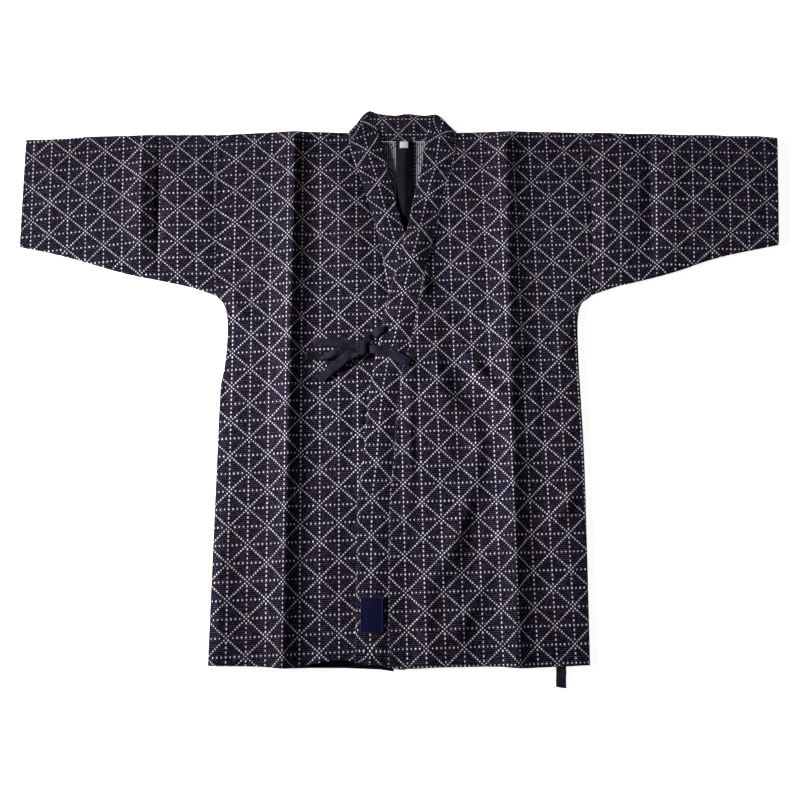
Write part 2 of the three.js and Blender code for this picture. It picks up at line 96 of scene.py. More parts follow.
def along(rows, column, place):
    # Smooth reading of one column, without overshoot between the rows
    if place <= rows[0][0]:
        return rows[0][column]
    if place >= rows[-1][0]:
        return rows[-1][column]
    i = 0
    while rows[i + 1][0] <= place:
        i += 1
    slopes = []
    for k in (i, i + 1):
        before = slope(rows, column, k - 1) if k > 0 else slope(rows, column, k)
        after = slope(rows, column, k) if k < len(rows) - 1 else before
        slopes.append(0.0 if before * after <= 0 else 2 * before * after / (before + after))
    wide = rows[i + 1][0] - rows[i][0]
    t = (place - rows[i][0]) / wide
    a, b = rows[i][column], rows[i + 1][column]
    bend = slopes[0] * wide * t * (1 - t) ** 2 - slopes[1] * wide * t * t * (1 - t)
    return a + (b - a) * t * t * (3 - 2 * t) + bend


def slope(rows, column, i):
    return (rows[i + 1][column] - rows[i][column]) / (rows[i + 1][0] - rows[i][0])


def straight(rows, column, place):
    for a, b in zip(rows, rows[1:]):
        if place <= b[0]:
            return a[column] + (b[column] - a[column]) * max(0.0, place - a[0]) / (b[0] - a[0])
    return rows[-1][column]


def soft(value):
    t = min(max(value, 0.0), 1.0)
    return t * t * (3 - 2 * t)


def blend(a, b, t):
    return a + (b - a) * t


def spread(a, b, count):
    return [blend(a, b, i / count) for i in range(count + 1)]


def hump(distance, wide):
    return math.exp(-((distance / wide) ** 2))


# Pressed folds. Side 1 is the wearer's right, side 2 the left
ridge = {"x": 171, "high": {1: 9.2, 2: 8.6}, "steep": 34, "toe": 110, "toeShare": 0.2,
         "beyond": {1: 38, 2: 46}, "round": 1.5}
sideRoll = {"high": {1: 0.8, 2: 1.8}, "wide": 34}
hemLift = {"x": -88, "high": 3.0, "wide": 36, "deep": 45}
neckStand = {"high": {1: 0.4, 2: 2.2}, "y": 420, "reach": 95}
lap = {"past": 3, "reach": 52, "collarRise": 1.6, "drop": 4.1, "creaseShare": 0.9,
       "seamRise": 1.3, "seamWide": 16}
sag = {"size": 46, "high": 0.9, "smallSize": 17, "smallHigh": 0.35, "shoulder": 60}

# Creases on each piece: height, width, the share of the height left at the ends, and the points
creases = {
    "frontLeft": [
        (6.6, 10.5, 0.25, [(94, 80), (113, 53), (127, 36), (141, 20), (155, 6), (168, -5)]),
        (-3.2, 17, 0.25, [(80, 40), (92, 26), (118, -5), (143, -28)]),
        (3.8, 14, 0.6, [(48, 14), (92, -18), (112, -52), (119, -80), (108, -142), (91, -190), (70, -243),
                        (42, -282), (40, -330), (44, -400)]),
        (2.9, 13, 0.5, [(150, -200), (142, -234), (121, -280), (100, -326), (80, -352), (64, -372)]),
        (1.6, 8, 0.25, [(62, 140), (84, 118), (98, 100)]),
        (1.8, 7, 0.25, [(72, 144), (75, 126)]),
        (2.0, 7, 0.25, [(56, 64), (58, 36)]),
        (2.8, 9, 0.25, [(262, -140), (246, -172), (214, -214)]),
        (2.2, 10, 0.25, [(208, 34), (209, -10), (207, -66)]),
        (2.4, 9, 0.25, [(40, 200), (36, 176), (15, 134)]),
        (2.0, 8, 0.25, [(58, 316), (58, 298), (50, 248)]),
        (2.0, 7, 0.25, [(83, 408), (80, 380), (76, 352)]),
        (1.8, 9, 0.25, [(215, 96), (190, 84), (172, 60)]),
        (1.6, 10, 0.25, [(276, 120), (258, 90), (246, 40)]),
        (-1.5, 7, 0.25, [(26, -30), (26, -100), (26, -180), (23, -260)]),
        (2.2, 8, 0.25, [(18, 40), (14, -20), (13, -100), (12, -180), (10, -240)]),
        (-1.4, 6, 0.9, [(306, 440), (306, 300), (302, 190)]),
        (1.8, 14, 0.25, [(210, -330), (216, -370), (218, -400)]),
        (1.2, 18, 0.25, [(120, 260), (112, 190), (118, 120)]),
        (1.6, 8, 0.25, [(30, 104), (66, 122), (112, 152)]),
        (1.7, 9, 0.25, [(44, 78), (84, 98), (146, 112)]),
        (1.3, 10, 0.25, [(66, 168), (92, 196), (128, 214)]),
        (1.5, 9, 0.25, [(130, 150), (146, 128), (158, 96)]),
    ],
    "frontRight": [
        (4.0, 30, 0.7, [(-288, -200), (-288, -260), (-286, -330), (-284, -405)]),
        (-1.5, 24, 0.6, [(-232, -200), (-232, -300), (-230, -395)]),
        (-1.6, 20, 0.25, [(-276, 150), (-274, 60), (-274, -60)]),
        (-1.6, 7, 0.9, [(-289, 440), (-288, 300), (-284, 190)]),
        (2.2, 8, 0.25, [(-272, 176), (-256, 152), (-240, 126)]),
        (4.2, 32, 0.5, [(-118, 430), (-100, 340), (-82, 260), (-66, 180)]),
        (1.7, 9, 0.25, [(-140, 60), (-104, 44), (-78, 34)]),
        (1.5, 9, 0.25, [(-96, 150), (-78, 122), (-66, 104)]),
        (1.6, 13, 0.25, [(-98, 20), (-92, -40), (-94, -110)]),
        (1.6, 18, 0.25, [(-100, -170), (-112, -240), (-104, -320)]),
        (1.8, 8, 0.25, [(-62, 20), (-60, -60), (-58, -140)]),
    ],
    "sleeveRight": [
        (5.0, 15, 0.85, [(-420, 440), (-417, 320), (-411, 200)]),
        (-2.8, 5, 0.9, [(-390, 438), (-388, 320), (-383, 195)]),
        (1.5, 17, 0.25, [(-370, 430), (-360, 300), (-352, 190)]),
        (1.3, 24, 0.25, [(-500, 430), (-492, 330), (-486, 230)]),
        (1.2, 16, 0.25, [(-570, 420), (-556, 340), (-560, 260)]),
        (1.3, 13, 0.25, [(-318, 320), (-340, 250), (-352, 200)]),
    ],
    "sleeveLeft": [
        (2.6, 15, 0.25, [(380, 440), (376, 320), (368, 200)]),
        (-1.6, 7, 0.9, [(407, 440), (407, 320), (402, 205)]),
        (1.8, 15, 0.25, [(438, 436), (434, 320), (428, 215)]),
        (1.3, 22, 0.25, [(500, 430), (496, 330), (480, 235)]),
        (1.2, 18, 0.25, [(575, 420), (566, 340), (562, 262)]),
        (1.3, 12, 0.25, [(330, 330), (346, 250), (350, 196)]),
    ],
}


def creaseHeight(piece, x, y):
    total = 0.0
    for high, wide, ends, line in creases[piece]:
        best = None
        for i, (a, b) in enumerate(zip(line, line[1:])):
            dx, dy = b[0] - a[0], b[1] - a[1]
            t = ((x - a[0]) * dx + (y - a[1]) * dy) / (dx * dx + dy * dy)
            held = min(max(t, 0.0), 1.0)
            away = math.hypot(x - a[0] - dx * held, y - a[1] - dy * held)
            if best is None or away < best[0]:
                best = (away, (i + held) / (len(line) - 1))
        if best[0] < wide * 2.6:
            fade = blend(ends, 1.0, soft(min(best[1], 1 - best[1]) / 0.3))
            total += high * fade * hump(best[0], wide)
    return total


def wave(x, y, size, high):
    return high * (0.5 + 0.5 * noise.noise(Vector((x / size, y / size, 3.7))))


def ridgeHeight(x, side):
    # Both ridges have a steep side with a long toe towards -X, and a plain slope beyond
    offset = x - math.copysign(ridge["x"], x)
    away = math.hypot(offset, ridge["round"]) - ridge["round"]
    if offset >= 0:
        return ridge["high"][side] * max(0.0, 1 - away / ridge["beyond"][side]) ** 1.7
    toe = ridge["toeShare"] * max(0.0, 1 - away / ridge["toe"]) ** 1.2
    steep = (1 - ridge["toeShare"]) * max(0.0, 1 - away / ridge["steep"]) ** 1.35
    return ridge["high"][side] * (steep + toe)


def hemRise(x, y):
    # The hem lifts a little over the tape inside the back's hem
    fade = math.exp(-(y - body["hem"]) / hemLift["deep"])
    return hemLift["high"] * hump(x - hemLift["x"], hemLift["wide"]) * fade


def frontRest(x, y, side):
    # Height of a front's underside where it lies on the back
    fromSide = abs(along(sideLine, side, y) - x) + max(0.0, y - body["underarm"]) * 2
    fromShoulder = straight(shoulderLine, 1, x) - y
    inside = soft(min(fromSide, fromShoulder) / levels["edgeReach"])
    roll = sideRoll["high"][side] * (soft(fromSide / sideRoll["wide"]) - 1)
    small = wave(x, y, sag["size"], sag["high"]) + wave(x + 400, y, sag["smallSize"], sag["smallHigh"])
    small += creaseHeight("frontRight" if side == 1 else "frontLeft", x, y)
    lift = ridgeHeight(x, side) + roll + small * soft(fromShoulder / sag["shoulder"])
    return blend(levels["sewn"], levels["inner"] + lift, inside) + hemRise(x, y)


def pastLap(x, y):
    # 0 where the left front lies on the right one's collar, 1 where it is down on the back
    return soft((x - along(freeEdge, 1, y) - lap["past"]) / lap["reach"])


def overRest(x, y):
    # How high the wearer's left front is carried by the right front and its collar
    onCollar = soft((x - along(frontSeam, 1, y) + 10) / 10)
    clothTop = levels["inner"] + cloth["thick"] + levels["gap"]
    return clothTop + lap["collarRise"] * onCollar - lap["drop"] * pastLap(x, y)


def leftRest(x, y):
    # The left front's underside: on the back, and over the right front where it laps
    plain = frontRest(x, y, 2)
    past = pastLap(x, y)
    if past >= 1:
        return plain
    small = creaseHeight("frontLeft", x, y) + wave(x, y, sag["size"], sag["high"])
    over = overRest(x, y) + small * lap["creaseShare"]
    over = blend(levels["sewn"], over, soft((straight(shoulderLine, 1, x) - y) / levels["edgeReach"]))
    over += lap["seamRise"] * hump(x - along(frontSeam, 2, y), lap["seamWide"])
    return blend(over, plain, past)


def placed(point):
    return (Vector(point) + draftToFrame) * 0.001


def wall(x, y, low, thick, step):
    return Vector((x, y, low + thick)), Vector((x, y, low)), step


def rollOver(grid, count, turn, outward, most, innerReach):
    # The cloth rolls over and down past its last row
    last = grid[-1]
    for i in range(1, count + 1):
        angle = turn * i / count
        out = outward * math.sin(angle) + Vector((0, 0, math.cos(angle)))
        line = []
        for point, _, (u, v) in last:
            reach = min(point.z / 2, most)
            centre = Vector((point.x, point.y, point.z - reach))
            line.append((centre + out * reach, centre + out * innerReach(reach), (u, v + angle * reach / 3)))
        grid.append(line)


def shellMesh(name, grid, finishes, wrap=False, rounding=1.0):
    # A thin wall with rounded open edges. Each place in the grid holds its outer point, its inner point and
    # the weave's place there
    rows, columns = len(grid), len(grid[0])
    middle = [[(outer + inner) / 2 for outer, inner, _ in line] for line in grid]
    vertices, places, faces, slots = [], [], [], []

    def add(point, step):
        vertices.append(placed(point))
        places.append(step)
        return len(vertices) - 1

    def nextIn(row, column):
        # The neighbours inward from an open edge
        found = []
        if row in (0, rows - 1):
            found.append((1 if row == 0 else rows - 2, column))
        if not wrap and column in (0, columns - 1):
            found.append((row, 1 if column == 0 else columns - 2))
        return found

    ids, rims = {}, {}
    for row, line in enumerate(grid):
        for column, (outer, inner, step) in enumerate(line):
            push, grow = Vector((0, 0, 0)), Vector((0, 0))
            for place in nextIn(row, column):
                away = middle[row][column] - middle[place[0]][place[1]]
                push += away.normalized()
                grow += (Vector(step) - Vector(grid[place[0]][place[1]][2])) / away.length
            push.normalize()
            half = (outer - inner) / 2
            inset = push * half.length * rounding
            pair = (add(outer - inset, step), add(inner - inset, step))
            ids[row, column] = pair
            if push.length > 0:
                ring = [pair[0]]
                for degrees in (50, 0, -50):
                    angle = math.radians(degrees)
                    arc = half.length * math.radians(90 - abs(degrees))
                    point = middle[row][column] - inset + half * math.sin(angle) + inset * math.cos(angle)
                    ring.append(add(point, Vector(step) + grow * arc))
                rims[row, column] = [*ring, pair[1]]
    spans = columns if wrap else columns - 1
    for row in range(rows - 1):
        for column in range(spans):
            after = (column + 1) % columns
            corners = [(row, column), (row, after), (row + 1, after), (row + 1, column)]
            faces.append([ids[place][0] for place in corners])
            faces.append([ids[place][1] for place in reversed(corners)])
            slots += [0, 1]
    edges = []
    for column in range(spans):
        after = (column + 1) % columns
        edges += [((0, column), (0, after)), ((rows - 1, after), (rows - 1, column))]
    if not wrap:
        for row in range(rows - 1):
            edges += [((row, columns - 1), (row + 1, columns - 1)), ((row + 1, 0), (row, 0))]
    for a, b in edges:
        for k in range(4):
            faces.append([rims[a][k + 1], rims[b][k + 1], rims[b][k], rims[a][k]])
            slots.append(0)
    mesh = bpy.data.meshes.new(name)
    mesh.from_pydata(vertices, [], faces)
    layer = mesh.uv_layers.new(name="weaveSteps")
    for loop in mesh.loops:
        layer.data[loop.index].uv = places[loop.vertex_index]
    for polygon, slot in zip(mesh.polygons, slots):
        polygon.material_index = slot if len(finishes) > 1 else 0
        polygon.use_smooth = True
    for finish in finishes:
        mesh.materials.append(finish)
    if volumeOf(mesh) < 0:
        mesh.flip_normals()
    mesh.update()
    return addObject(name, mesh)


def addObject(name, data):
    made = bpy.data.objects.new(name, data)
    bpy.context.scene.collection.objects.link(made)
    return made


def volumeOf(mesh):
    mesh.calc_loop_triangles()
    total = 0.0
    for triangle in mesh.loop_triangles:
        a, b, c = (mesh.vertices[i].co for i in triangle.vertices)
        total += a.dot(b.cross(c))
    return total


# Materials. A wire carries one value in a node tree, and arithmetic on it adds maths nodes
class Wire:
    def __init__(self, socket):
        self.socket = socket
        self.tree = socket.id_data

    def maths(self, operation, *others):
        node = self.tree.nodes.new("ShaderNodeMath")
        node.operation = operation
        for socket, value in zip(node.inputs, (self, *others)):
            feed(socket, value)
        return Wire(node.outputs[0])

    def __add__(self, other):
        return self.maths("ADD", other)

    def __sub__(self, other):
        return self.maths("SUBTRACT", other)

    def __mul__(self, other):
        return self.maths("MULTIPLY", other)

    def __truediv__(self, other):
        return self.maths("DIVIDE", other)

    def __mod__(self, other):
        return self.maths("FLOORED_MODULO", other)

    def rounded(self, step=1):
        return self.maths("ROUND") if step == 1 else (self / step).maths("ROUND") * step

    def cosine(self, length):
        return (self * (2 * math.pi / length)).maths("COSINE")

    def sine(self, length):
        return (self * (2 * math.pi / length)).maths("SINE")


def feed(socket, value):
    if isinstance(value, Wire):
        value.tree.links.new(value.socket, socket)
    elif isinstance(value, tuple):
        socket.default_value = (*value, 1)
    else:
        socket.default_value = value


def setInputs(node, values):
    for title, value in values.items():
        feed(node.inputs[title], value)


def remap(value, fromLow, fromHigh, toLow=0.0, toHigh=1.0):
    node = value.tree.nodes.new("ShaderNodeMapRange")
    node.interpolation_type = "SMOOTHSTEP"
    setInputs(node, {"Value": value, "From Min": fromLow, "From Max": fromHigh,
                     "To Min": toLow, "To Max": toHigh})
    return Wire(node.outputs["Result"])


def mixColour(factor, a, b):
    node = factor.tree.nodes.new("ShaderNodeMix")
    node.data_type = "RGBA"
    for index, value in ((0, factor), (6, a), (7, b)):
        feed(node.inputs[index], value)
    return Wire(node.outputs[2])


def noiseAt(spot, scale, detail=2.0):
    node = spot.tree.nodes.new("ShaderNodeTexNoise")
    setInputs(node, {"Vector": spot, "Scale": scale, "Detail": detail})
    return Wire(node.outputs["Fac"])


def splitUp(vector):
    node = vector.tree.nodes.new("ShaderNodeSeparateXYZ")
    feed(node.inputs[0], vector)
    return Wire(node.outputs[0]), Wire(node.outputs[1])


def startMaterial(name):
    material = bpy.data.materials.new(name)
    material.use_nodes = True
    return material, material.node_tree.nodes["Principled BSDF"]


def objectSpot(shader):
    return Wire(shader.id_data.nodes.new("ShaderNodeTexCoord").outputs["Object"])


def weavePlace(shader):
    node = shader.id_data.nodes.new("ShaderNodeUVMap")
    node.uv_map = "weaveSteps"
    return Wire(node.outputs[0])


def addBump(shader, height, strength, distance):
    bump = shader.id_data.nodes.new("ShaderNodeBump")
    setInputs(bump, {"Strength": strength, "Distance": distance, "Height": height})
    feed(shader.inputs["Normal"], Wire(bump.outputs["Normal"]))


# The weave counts in half steps: diamonds repeat every 18 of them both ways, with a crossing in the middle
weave = {
    "repeat": 18, "columnPitch": 2.25,
    "crossDot": (0.37, 0.46), "rowDot": (0.36, 0.54), "columnDot": (0.34, 0.62),
    "white": (0.95, 0.91, 0.98), "whiteShade": (0.72, 0.68, 0.78),
    "navy": (0.0028, 0.0022, 0.0074), "plum": (0.0052, 0.0027, 0.0062), "fine": (0.258, 0.196, 0.372),
    "stripe": (0.52, 0.50, 0.55), "betweenStripes": (0.035, 0.032, 0.042),
}


def chanceAt(u, v):
    # A random value for each pair of whole numbers
    pair = u.tree.nodes.new("ShaderNodeCombineXYZ")
    feed(pair.inputs[0], u)
    feed(pair.inputs[1], v)
    node = u.tree.nodes.new("ShaderNodeTexWhiteNoise")
    node.noise_dimensions = "2D"
    feed(node.inputs["Vector"], Wire(pair.outputs[0]))
    return Wire(node.outputs["Value"])


def dotCover(u, v, centreU, centreV, size, allowed):
    # One oval float of white thread around the nearest centre
    grow = remap(chanceAt(centreU, centreV), 0.0, 1.0, 0.86, 1.12)
    across = (u - centreU) / (grow * size[0])
    up = (v - centreV) / (grow * size[1])
    return remap(across * across + up * up, 1.15, 0.45) * allowed


def near(value, target, within):
    return (value - target).maths("ABSOLUTE").maths("LESS_THAN", within)


def diamondGroup():
    group = bpy.data.node_groups.new("diamondWeave", "ShaderNodeTree")
    group.interface.new_socket("Steps", in_out="INPUT", socket_type="NodeSocketVector")
    for title in ("Floats", "Ground", "Threads"):
        group.interface.new_socket(title, in_out="OUTPUT", socket_type="NodeSocketFloat")
    u, v = splitUp(Wire(group.nodes.new("NodeGroupInput").outputs["Steps"]))
    repeat = weave["repeat"]
    half = repeat / 2

    # Diagonals: a float at every half step on both diagonals
    centreU, centreV = u.rounded(), v.rounded()
    lines = [near(offset, offset.rounded(repeat), 0.5) for offset in (centreU - centreV, centreU + centreV)]
    diagonal = dotCover(u, v, centreU, centreV, weave["crossDot"], lines[0].maths("MAXIMUM", lines[1]))

    # Rows between the crossings: a float at every second half step
    rowAt = v.rounded(half)
    odd = (u - rowAt - 1).rounded(2) + 1
    row = dotCover(u, v, rowAt + odd, rowAt, weave["rowDot"], near(odd % repeat, half, half - 2))

    # Columns through the crossings: a float at every 2.25 half steps
    pitch = weave["columnPitch"]
    count = repeat / pitch
    columnAt = u.rounded(half)
    number = ((v - columnAt) / pitch).rounded()
    clear = near(number % count, count / 2, count / 2 - 0.4)
    column = dotCover(u, v, columnAt, columnAt + number * pitch, weave["columnDot"], clear)

    # Ground: short pale dashes of uneven tone, a row to each half step, staggered
    line = v.rounded()
    shifted = u + line % 2 * 0.5
    dash = remap(shifted.cosine(1), -0.8, 0.5) * remap(v.cosine(1), 0.3, 0.95)
    tone = remap(chanceAt(shifted.rounded(), line), 0.0, 1.0, 0.25, 1.75)

    # Threads of each float lie side by side along it
    threads = u.cosine(0.4).maths("ABSOLUTE")
    floats = diagonal.maths("MAXIMUM", row.maths("MAXIMUM", column))
    result = group.nodes.new("NodeGroupOutput")
    setInputs(result, {"Floats": floats, "Ground": dash * tone, "Threads": threads})
    return group


def weaveMaterial(name, group, reverse=False):
    material, shader = startMaterial(name)
    spot, steps = objectSpot(shader), weavePlace(shader)
    pattern = shader.id_data.nodes.new("ShaderNodeGroup")
    pattern.node_tree = group
    feed(pattern.inputs["Steps"], steps)
    floats, ground, threads = (Wire(pattern.outputs[title]) for title in ("Floats", "Ground", "Threads"))
    fuzz = noiseAt(spot, 900.0, 3.0)
    dye = mixColour(remap(noiseAt(spot, 11.0), 0.38, 0.66), weave["navy"], weave["plum"])
    navyCloth = mixColour(ground * (fuzz * 0.9 + 0.15) * 0.72, dye, weave["fine"])
    if reverse:
        stripes = remap(splitUp(steps)[0].cosine(1), -0.4, 0.5)
        colour = mixColour(floats, mixColour(stripes, weave["betweenStripes"], weave["stripe"]), navyCloth)
    else:
        whiteYarn = mixColour(threads * 0.55 + fuzz * 0.6, weave["whiteShade"], weave["white"])
        colour = mixColour(floats, navyCloth, whiteYarn)
    setInputs(shader, {"Base Color": colour, "Roughness": 0.92, "Specular IOR Level": 0.06,
                       "Sheen Weight": 0.02, "Sheen Roughness": 0.45, "Sheen Tint": (0.80, 0.76, 0.88)})
    addBump(shader, floats * 0.85 + threads * floats * 0.18 + ground * 0.32 + fuzz * 0.16, 0.75, 0.0011)
    return material


def tapeMaterial(name, colour, light, sheen, rib=0.9, shine=0.12):
    # Flat cotton tape with a fine zigzag twill, unevenly worn. Its map runs in millimetres, across then along
    material, shader = startMaterial(name)
    spot = objectSpot(shader)
    across, length = splitUp(weavePlace(shader))
    twill = (length + across.maths("PINGPONG", 1.7)).sine(rib)
    grain = remap(twill, -1.0, 1.0, 0.35, 1.0) * remap(across.cosine(0.85), -1.0, 1.0, 0.5, 1.0)
    worn = remap(noiseAt(spot, 105.0), 0.38, 0.66)
    base = mixColour(worn * 0.6, mixColour(grain * 0.62, colour, light), light)
    setInputs(shader, {"Base Color": base, "Roughness": 0.82, "Specular IOR Level": shine,
                       "Sheen Weight": sheen, "Sheen Roughness": 0.4, "Sheen Tint": (0.7, 0.74, 0.85)})
    addBump(shader, grain + noiseAt(spot, 700.0, 3.0) * 0.4, 0.6, 0.0004)
    return material


def satinMaterial(name, colour, light, weft):
    # Woven satin of close threads
    material, shader = startMaterial(name)
    spot = objectSpot(shader)
    across, length = splitUp(weavePlace(shader))
    grain = remap(length.sine(weft), -1.0, 1.0, 0.0, 0.7) + remap(across.sine(0.4), -1.0, 1.0, 0.0, 0.3)
    mixed = mixColour((grain + noiseAt(spot, 130.0)) * 0.5, colour, light)
    setInputs(shader, {"Base Color": mixed, "Roughness": 0.5, "Specular IOR Level": 0.08})
    addBump(shader, grain, 0.5, 0.00018)
    return material


def threadMaterial(name, colour):
    material, shader = startMaterial(name)
    fibre = noiseAt(objectSpot(shader), 2600.0)
    shade = tuple(value * 0.6 for value in colour)
    setInputs(shader, {"Base Color": mixColour(fibre, shade, colour), "Roughness": 0.6})
    addBump(shader, fibre, 0.4, 0.0002)
    return material


diamonds = diamondGroup()
outerWeave = weaveMaterial("diamondWeaveFace", diamonds)
innerWeave = weaveMaterial("diamondWeaveReverse", diamonds, reverse=True)
tieTape = tapeMaterial("tieTape", (0.0056, 0.0052, 0.0118), (0.0215, 0.0195, 0.0400), 0.03)
seamTape = tapeMaterial("seamTape", (0.0018, 0.0022, 0.0048), (0.0066, 0.0076, 0.0150), 0.02, rib=1.3)
# The hem tape's colour is its own dark navy darkened further by painted shade, standing in for the shadow the
# front's hem casts over it
hemTapeNavyAndShade = tapeMaterial("hemTapeNavyAndShade", (0.0005, 0.0005, 0.0018), (0.0045, 0.005, 0.012), 0.0, 3.6, 0.03)
blueSatin = satinMaterial("blueSatin", (0.0022, 0.0019, 0.0190), (0.0075, 0.0065, 0.0500), 0.55)
whiteSatin = satinMaterial("whiteSatin", (0.66, 0.66, 0.66), (0.82, 0.82, 0.82), 0.35)
navyThread = threadMaterial("navyThread", (0.035, 0.034, 0.060))
blueThread = threadMaterial("blueThread", (0.050, 0.055, 0.200))
whiteThread = threadMaterial("whiteThread", (0.55, 0.54, 0.57))
print("materials made")

# How the weave lies on each piece, in half steps for a millimetre across and up
weaveLay = {
    "frontRight": {"start": (56.42, -19.25), "across": (0.3116, -0.0146), "up": (0.0044, 0.3331),
                   "fold": 2.43, "seam": 1.5},
    "frontLeft": {"start": (-36.51, 8.39), "across": (0.3217, -0.0099), "up": (0.0075, 0.3352), "fold": 1.69},
    "sleeveRight": {"start": (130.35, -113.8), "across": (0.3011, -0.0061), "up": (0.0129, 0.3294),
                    "bend": (-0.0079, 0.0278)},
    "sleeveLeft": {"start": (-133.99, -85.70), "across": (0.3138, -0.0307), "up": (-0.0128, 0.3268),
                   "bend": (-0.0092, 0.0359)},
    "back": {"start": (1.5, 3.0), "across": (0.3170, 0.0), "up": (0.0, 0.3310)},
}
# Where it is out of step: at the pressed ridge, near the right armhole and beyond the sleeve's fold
weaveShift = {"foldAt": 149, "foldReach": 44, "seamAt": 262, "seamReach": 34, "seamLow": 150, "seamRise": 40,
              "bendAt": 410}


def weaveAt(piece, x, y):
    lay = weaveLay[piece]
    u = lay["start"][0] + lay["across"][0] * x + lay["up"][0] * y
    v = lay["start"][1] + lay["across"][1] * x + lay["up"][1] * y
    if "fold" in lay:
        u += math.copysign(lay["fold"] * soft((abs(x) - weaveShift["foldAt"]) / weaveShift["foldReach"]), x)
    if "seam" in lay:
        inAcross = soft((abs(x) - weaveShift["seamAt"]) / weaveShift["seamReach"])
        u += lay["seam"] * inAcross * soft((y - weaveShift["seamLow"]) / weaveShift["seamRise"])
    if "bend" in lay:
        past = max(0.0, abs(x) - weaveShift["bendAt"])
        u += lay["bend"][0] * past
        v += lay["bend"][1] * past
    return u, v


# Body panels. The back's columns run from its seam to the neck's corner, past it, and on to the side
panel = {"outerColumns": 30, "innerColumns": 58, "rowStep": 4.5, "rollSteps": 6, "hemReach": 30}
backSeam = {"x": 7.5, "gap": 0.15}
backLook = {"columns": (12, 5, 29), "neck": {1: (-60, -84), 2: (68, 92)}, "inset": 2.6}


def panelRows():
    return spread(body["hem"], body["shoulder"], round((body["shoulder"] - body["hem"]) / panel["rowStep"]))


def fitEnds(x, y, hem, top):
    # Rows near the hem and the shoulder bend to follow their edges
    hemEnd = body["hem"] + panel["hemReach"]
    if y <= hemEnd:
        return blend(along(hem, 1, x), hemEnd, (y - body["hem"]) / panel["hemReach"])
    if y <= body["fitStart"]:
        return y
    t = (y - body["fitStart"]) / (body["shoulder"] - body["fitStart"])
    return blend(body["fitStart"], straight(top, 1, x), t)


def makeFront(side):
    name = "frontRight" if side == 1 else "frontLeft"
    away = -1 if side == 1 else 1
    radius = (levels["sewn"] + cloth["thick"]) / 2
    ridgeX = away * ridge["x"]
    rows = panelRows()
    grid = []
    for y in rows:
        seamX = along(frontSeam, side, y) - away
        xs = spread(along(sideLine, side, y), ridgeX, panel["outerColumns"])[:-1]
        xs += spread(ridgeX, seamX, panel["innerColumns"])
        line = []
        for x in xs:
            placeY = fitEnds(x, y, frontHem, shoulderLine)
            if y == rows[-1]:
                placeY -= radius
            if side == 1:
                low = frontRest(x, placeY, 1)
                low -= 1.1 * hump(x - seamX, 5.0) * soft((body["shoulder"] - y) / 40)
            else:
                low = leftRest(x, placeY)
            line.append(wall(x, placeY, low, cloth["thick"], weaveAt(name, x, placeY)))
        grid.append(line)
    # The shoulder is a fold: the cloth rolls over to the back
    innerReach = radius - cloth["thick"] + 0.1
    rollOver(grid, panel["rollSteps"], math.pi, Vector((0, 1, 0)), math.inf, lambda reach: innerReach)
    return shellMesh(name, grid, [outerWeave, innerWeave], rounding=0.9)


def makeBack(side):
    name = "backRight" if side == 1 else "backLeft"
    middleX = backSeam["x"] + backSeam["gap"] * (-1 if side == 1 else 1)
    neckIn, neckOut = backLook["neck"][side]
    grid = []
    for y in panelRows():
        toNeck, pastNeck, toSide = backLook["columns"]
        xs = spread(middleX, neckIn, toNeck)[:-1] + spread(neckIn, neckOut, pastNeck)[:-1]
        xs += spread(neckOut, along(sideLine, side, y), toSide)
        line = []
        for x in xs:
            placeY = fitEnds(x, y, backHem, backNeck)
            underShoulder = backLook["inset"] * soft((abs(x - 4) - 84) / 6)
            placeY -= underShoulder * soft((y - body["shoulder"] + 40) / 40)
            rise = 0.0
            if y > body["neckBottom"]:
                rise = wave(x * 1.3, y, 30, 0.5) * soft((y - body["neckBottom"]) / 40)
            top, low, step = wall(x, placeY, 0, cloth["thick"] + rise, weaveAt("back", x, placeY))
            line.append((low, top, step))
        grid.append(line)
    return shellMesh(name, grid, [outerWeave, innerWeave], rounding=0.6)


# Collar: one band of double cloth. Its weave runs along the band
band = {"columns": 14, "rowStep": 4.6, "mid": {1: 1.0, 2: -3.5}, "phase": {1: 654.6, 2: 26.0},
        "step": {1: 3.105, 2: 3.057}, "widthStep": 3.07, "puff": 1.1, "seamThick": 3.2,
        "turnRows": 5, "turnBack": 3.4, "roll": 0.62 * math.pi, "rollReach": 4.6}


def bandPoint(side, seamY, across):
    seamX = along(frontSeam, side, seamY) + (-0.8 if side == 1 else 0.8)
    if seamY >= neckEdge[0][0]:
        freeX = along(neckEdge, 1 if side == 1 else 3, seamY)
        freeY = along(neckEdge, 2 if side == 1 else 4, seamY)
    else:
        freeX, freeY = along(freeEdge, side, seamY), seamY
    return blend(seamX, freeX, across), blend(seamY, freeY, across)


def bandRest(side, x, y, across):
    # The band's underside: the left one lies over the right one, and both stand up beside the neck
    rest = levels["inner"]
    if side == 2 and y <= 330:
        rest = max(rest, overRest(x, y))
    rest -= 1.6 * across * soft((y - 300) / 60)
    rest += neckStand["high"][side] * across ** 2 * soft(1 - abs(y - neckStand["y"]) / neckStand["reach"])
    return rest + hemRise(x, y) if side == 1 else rest


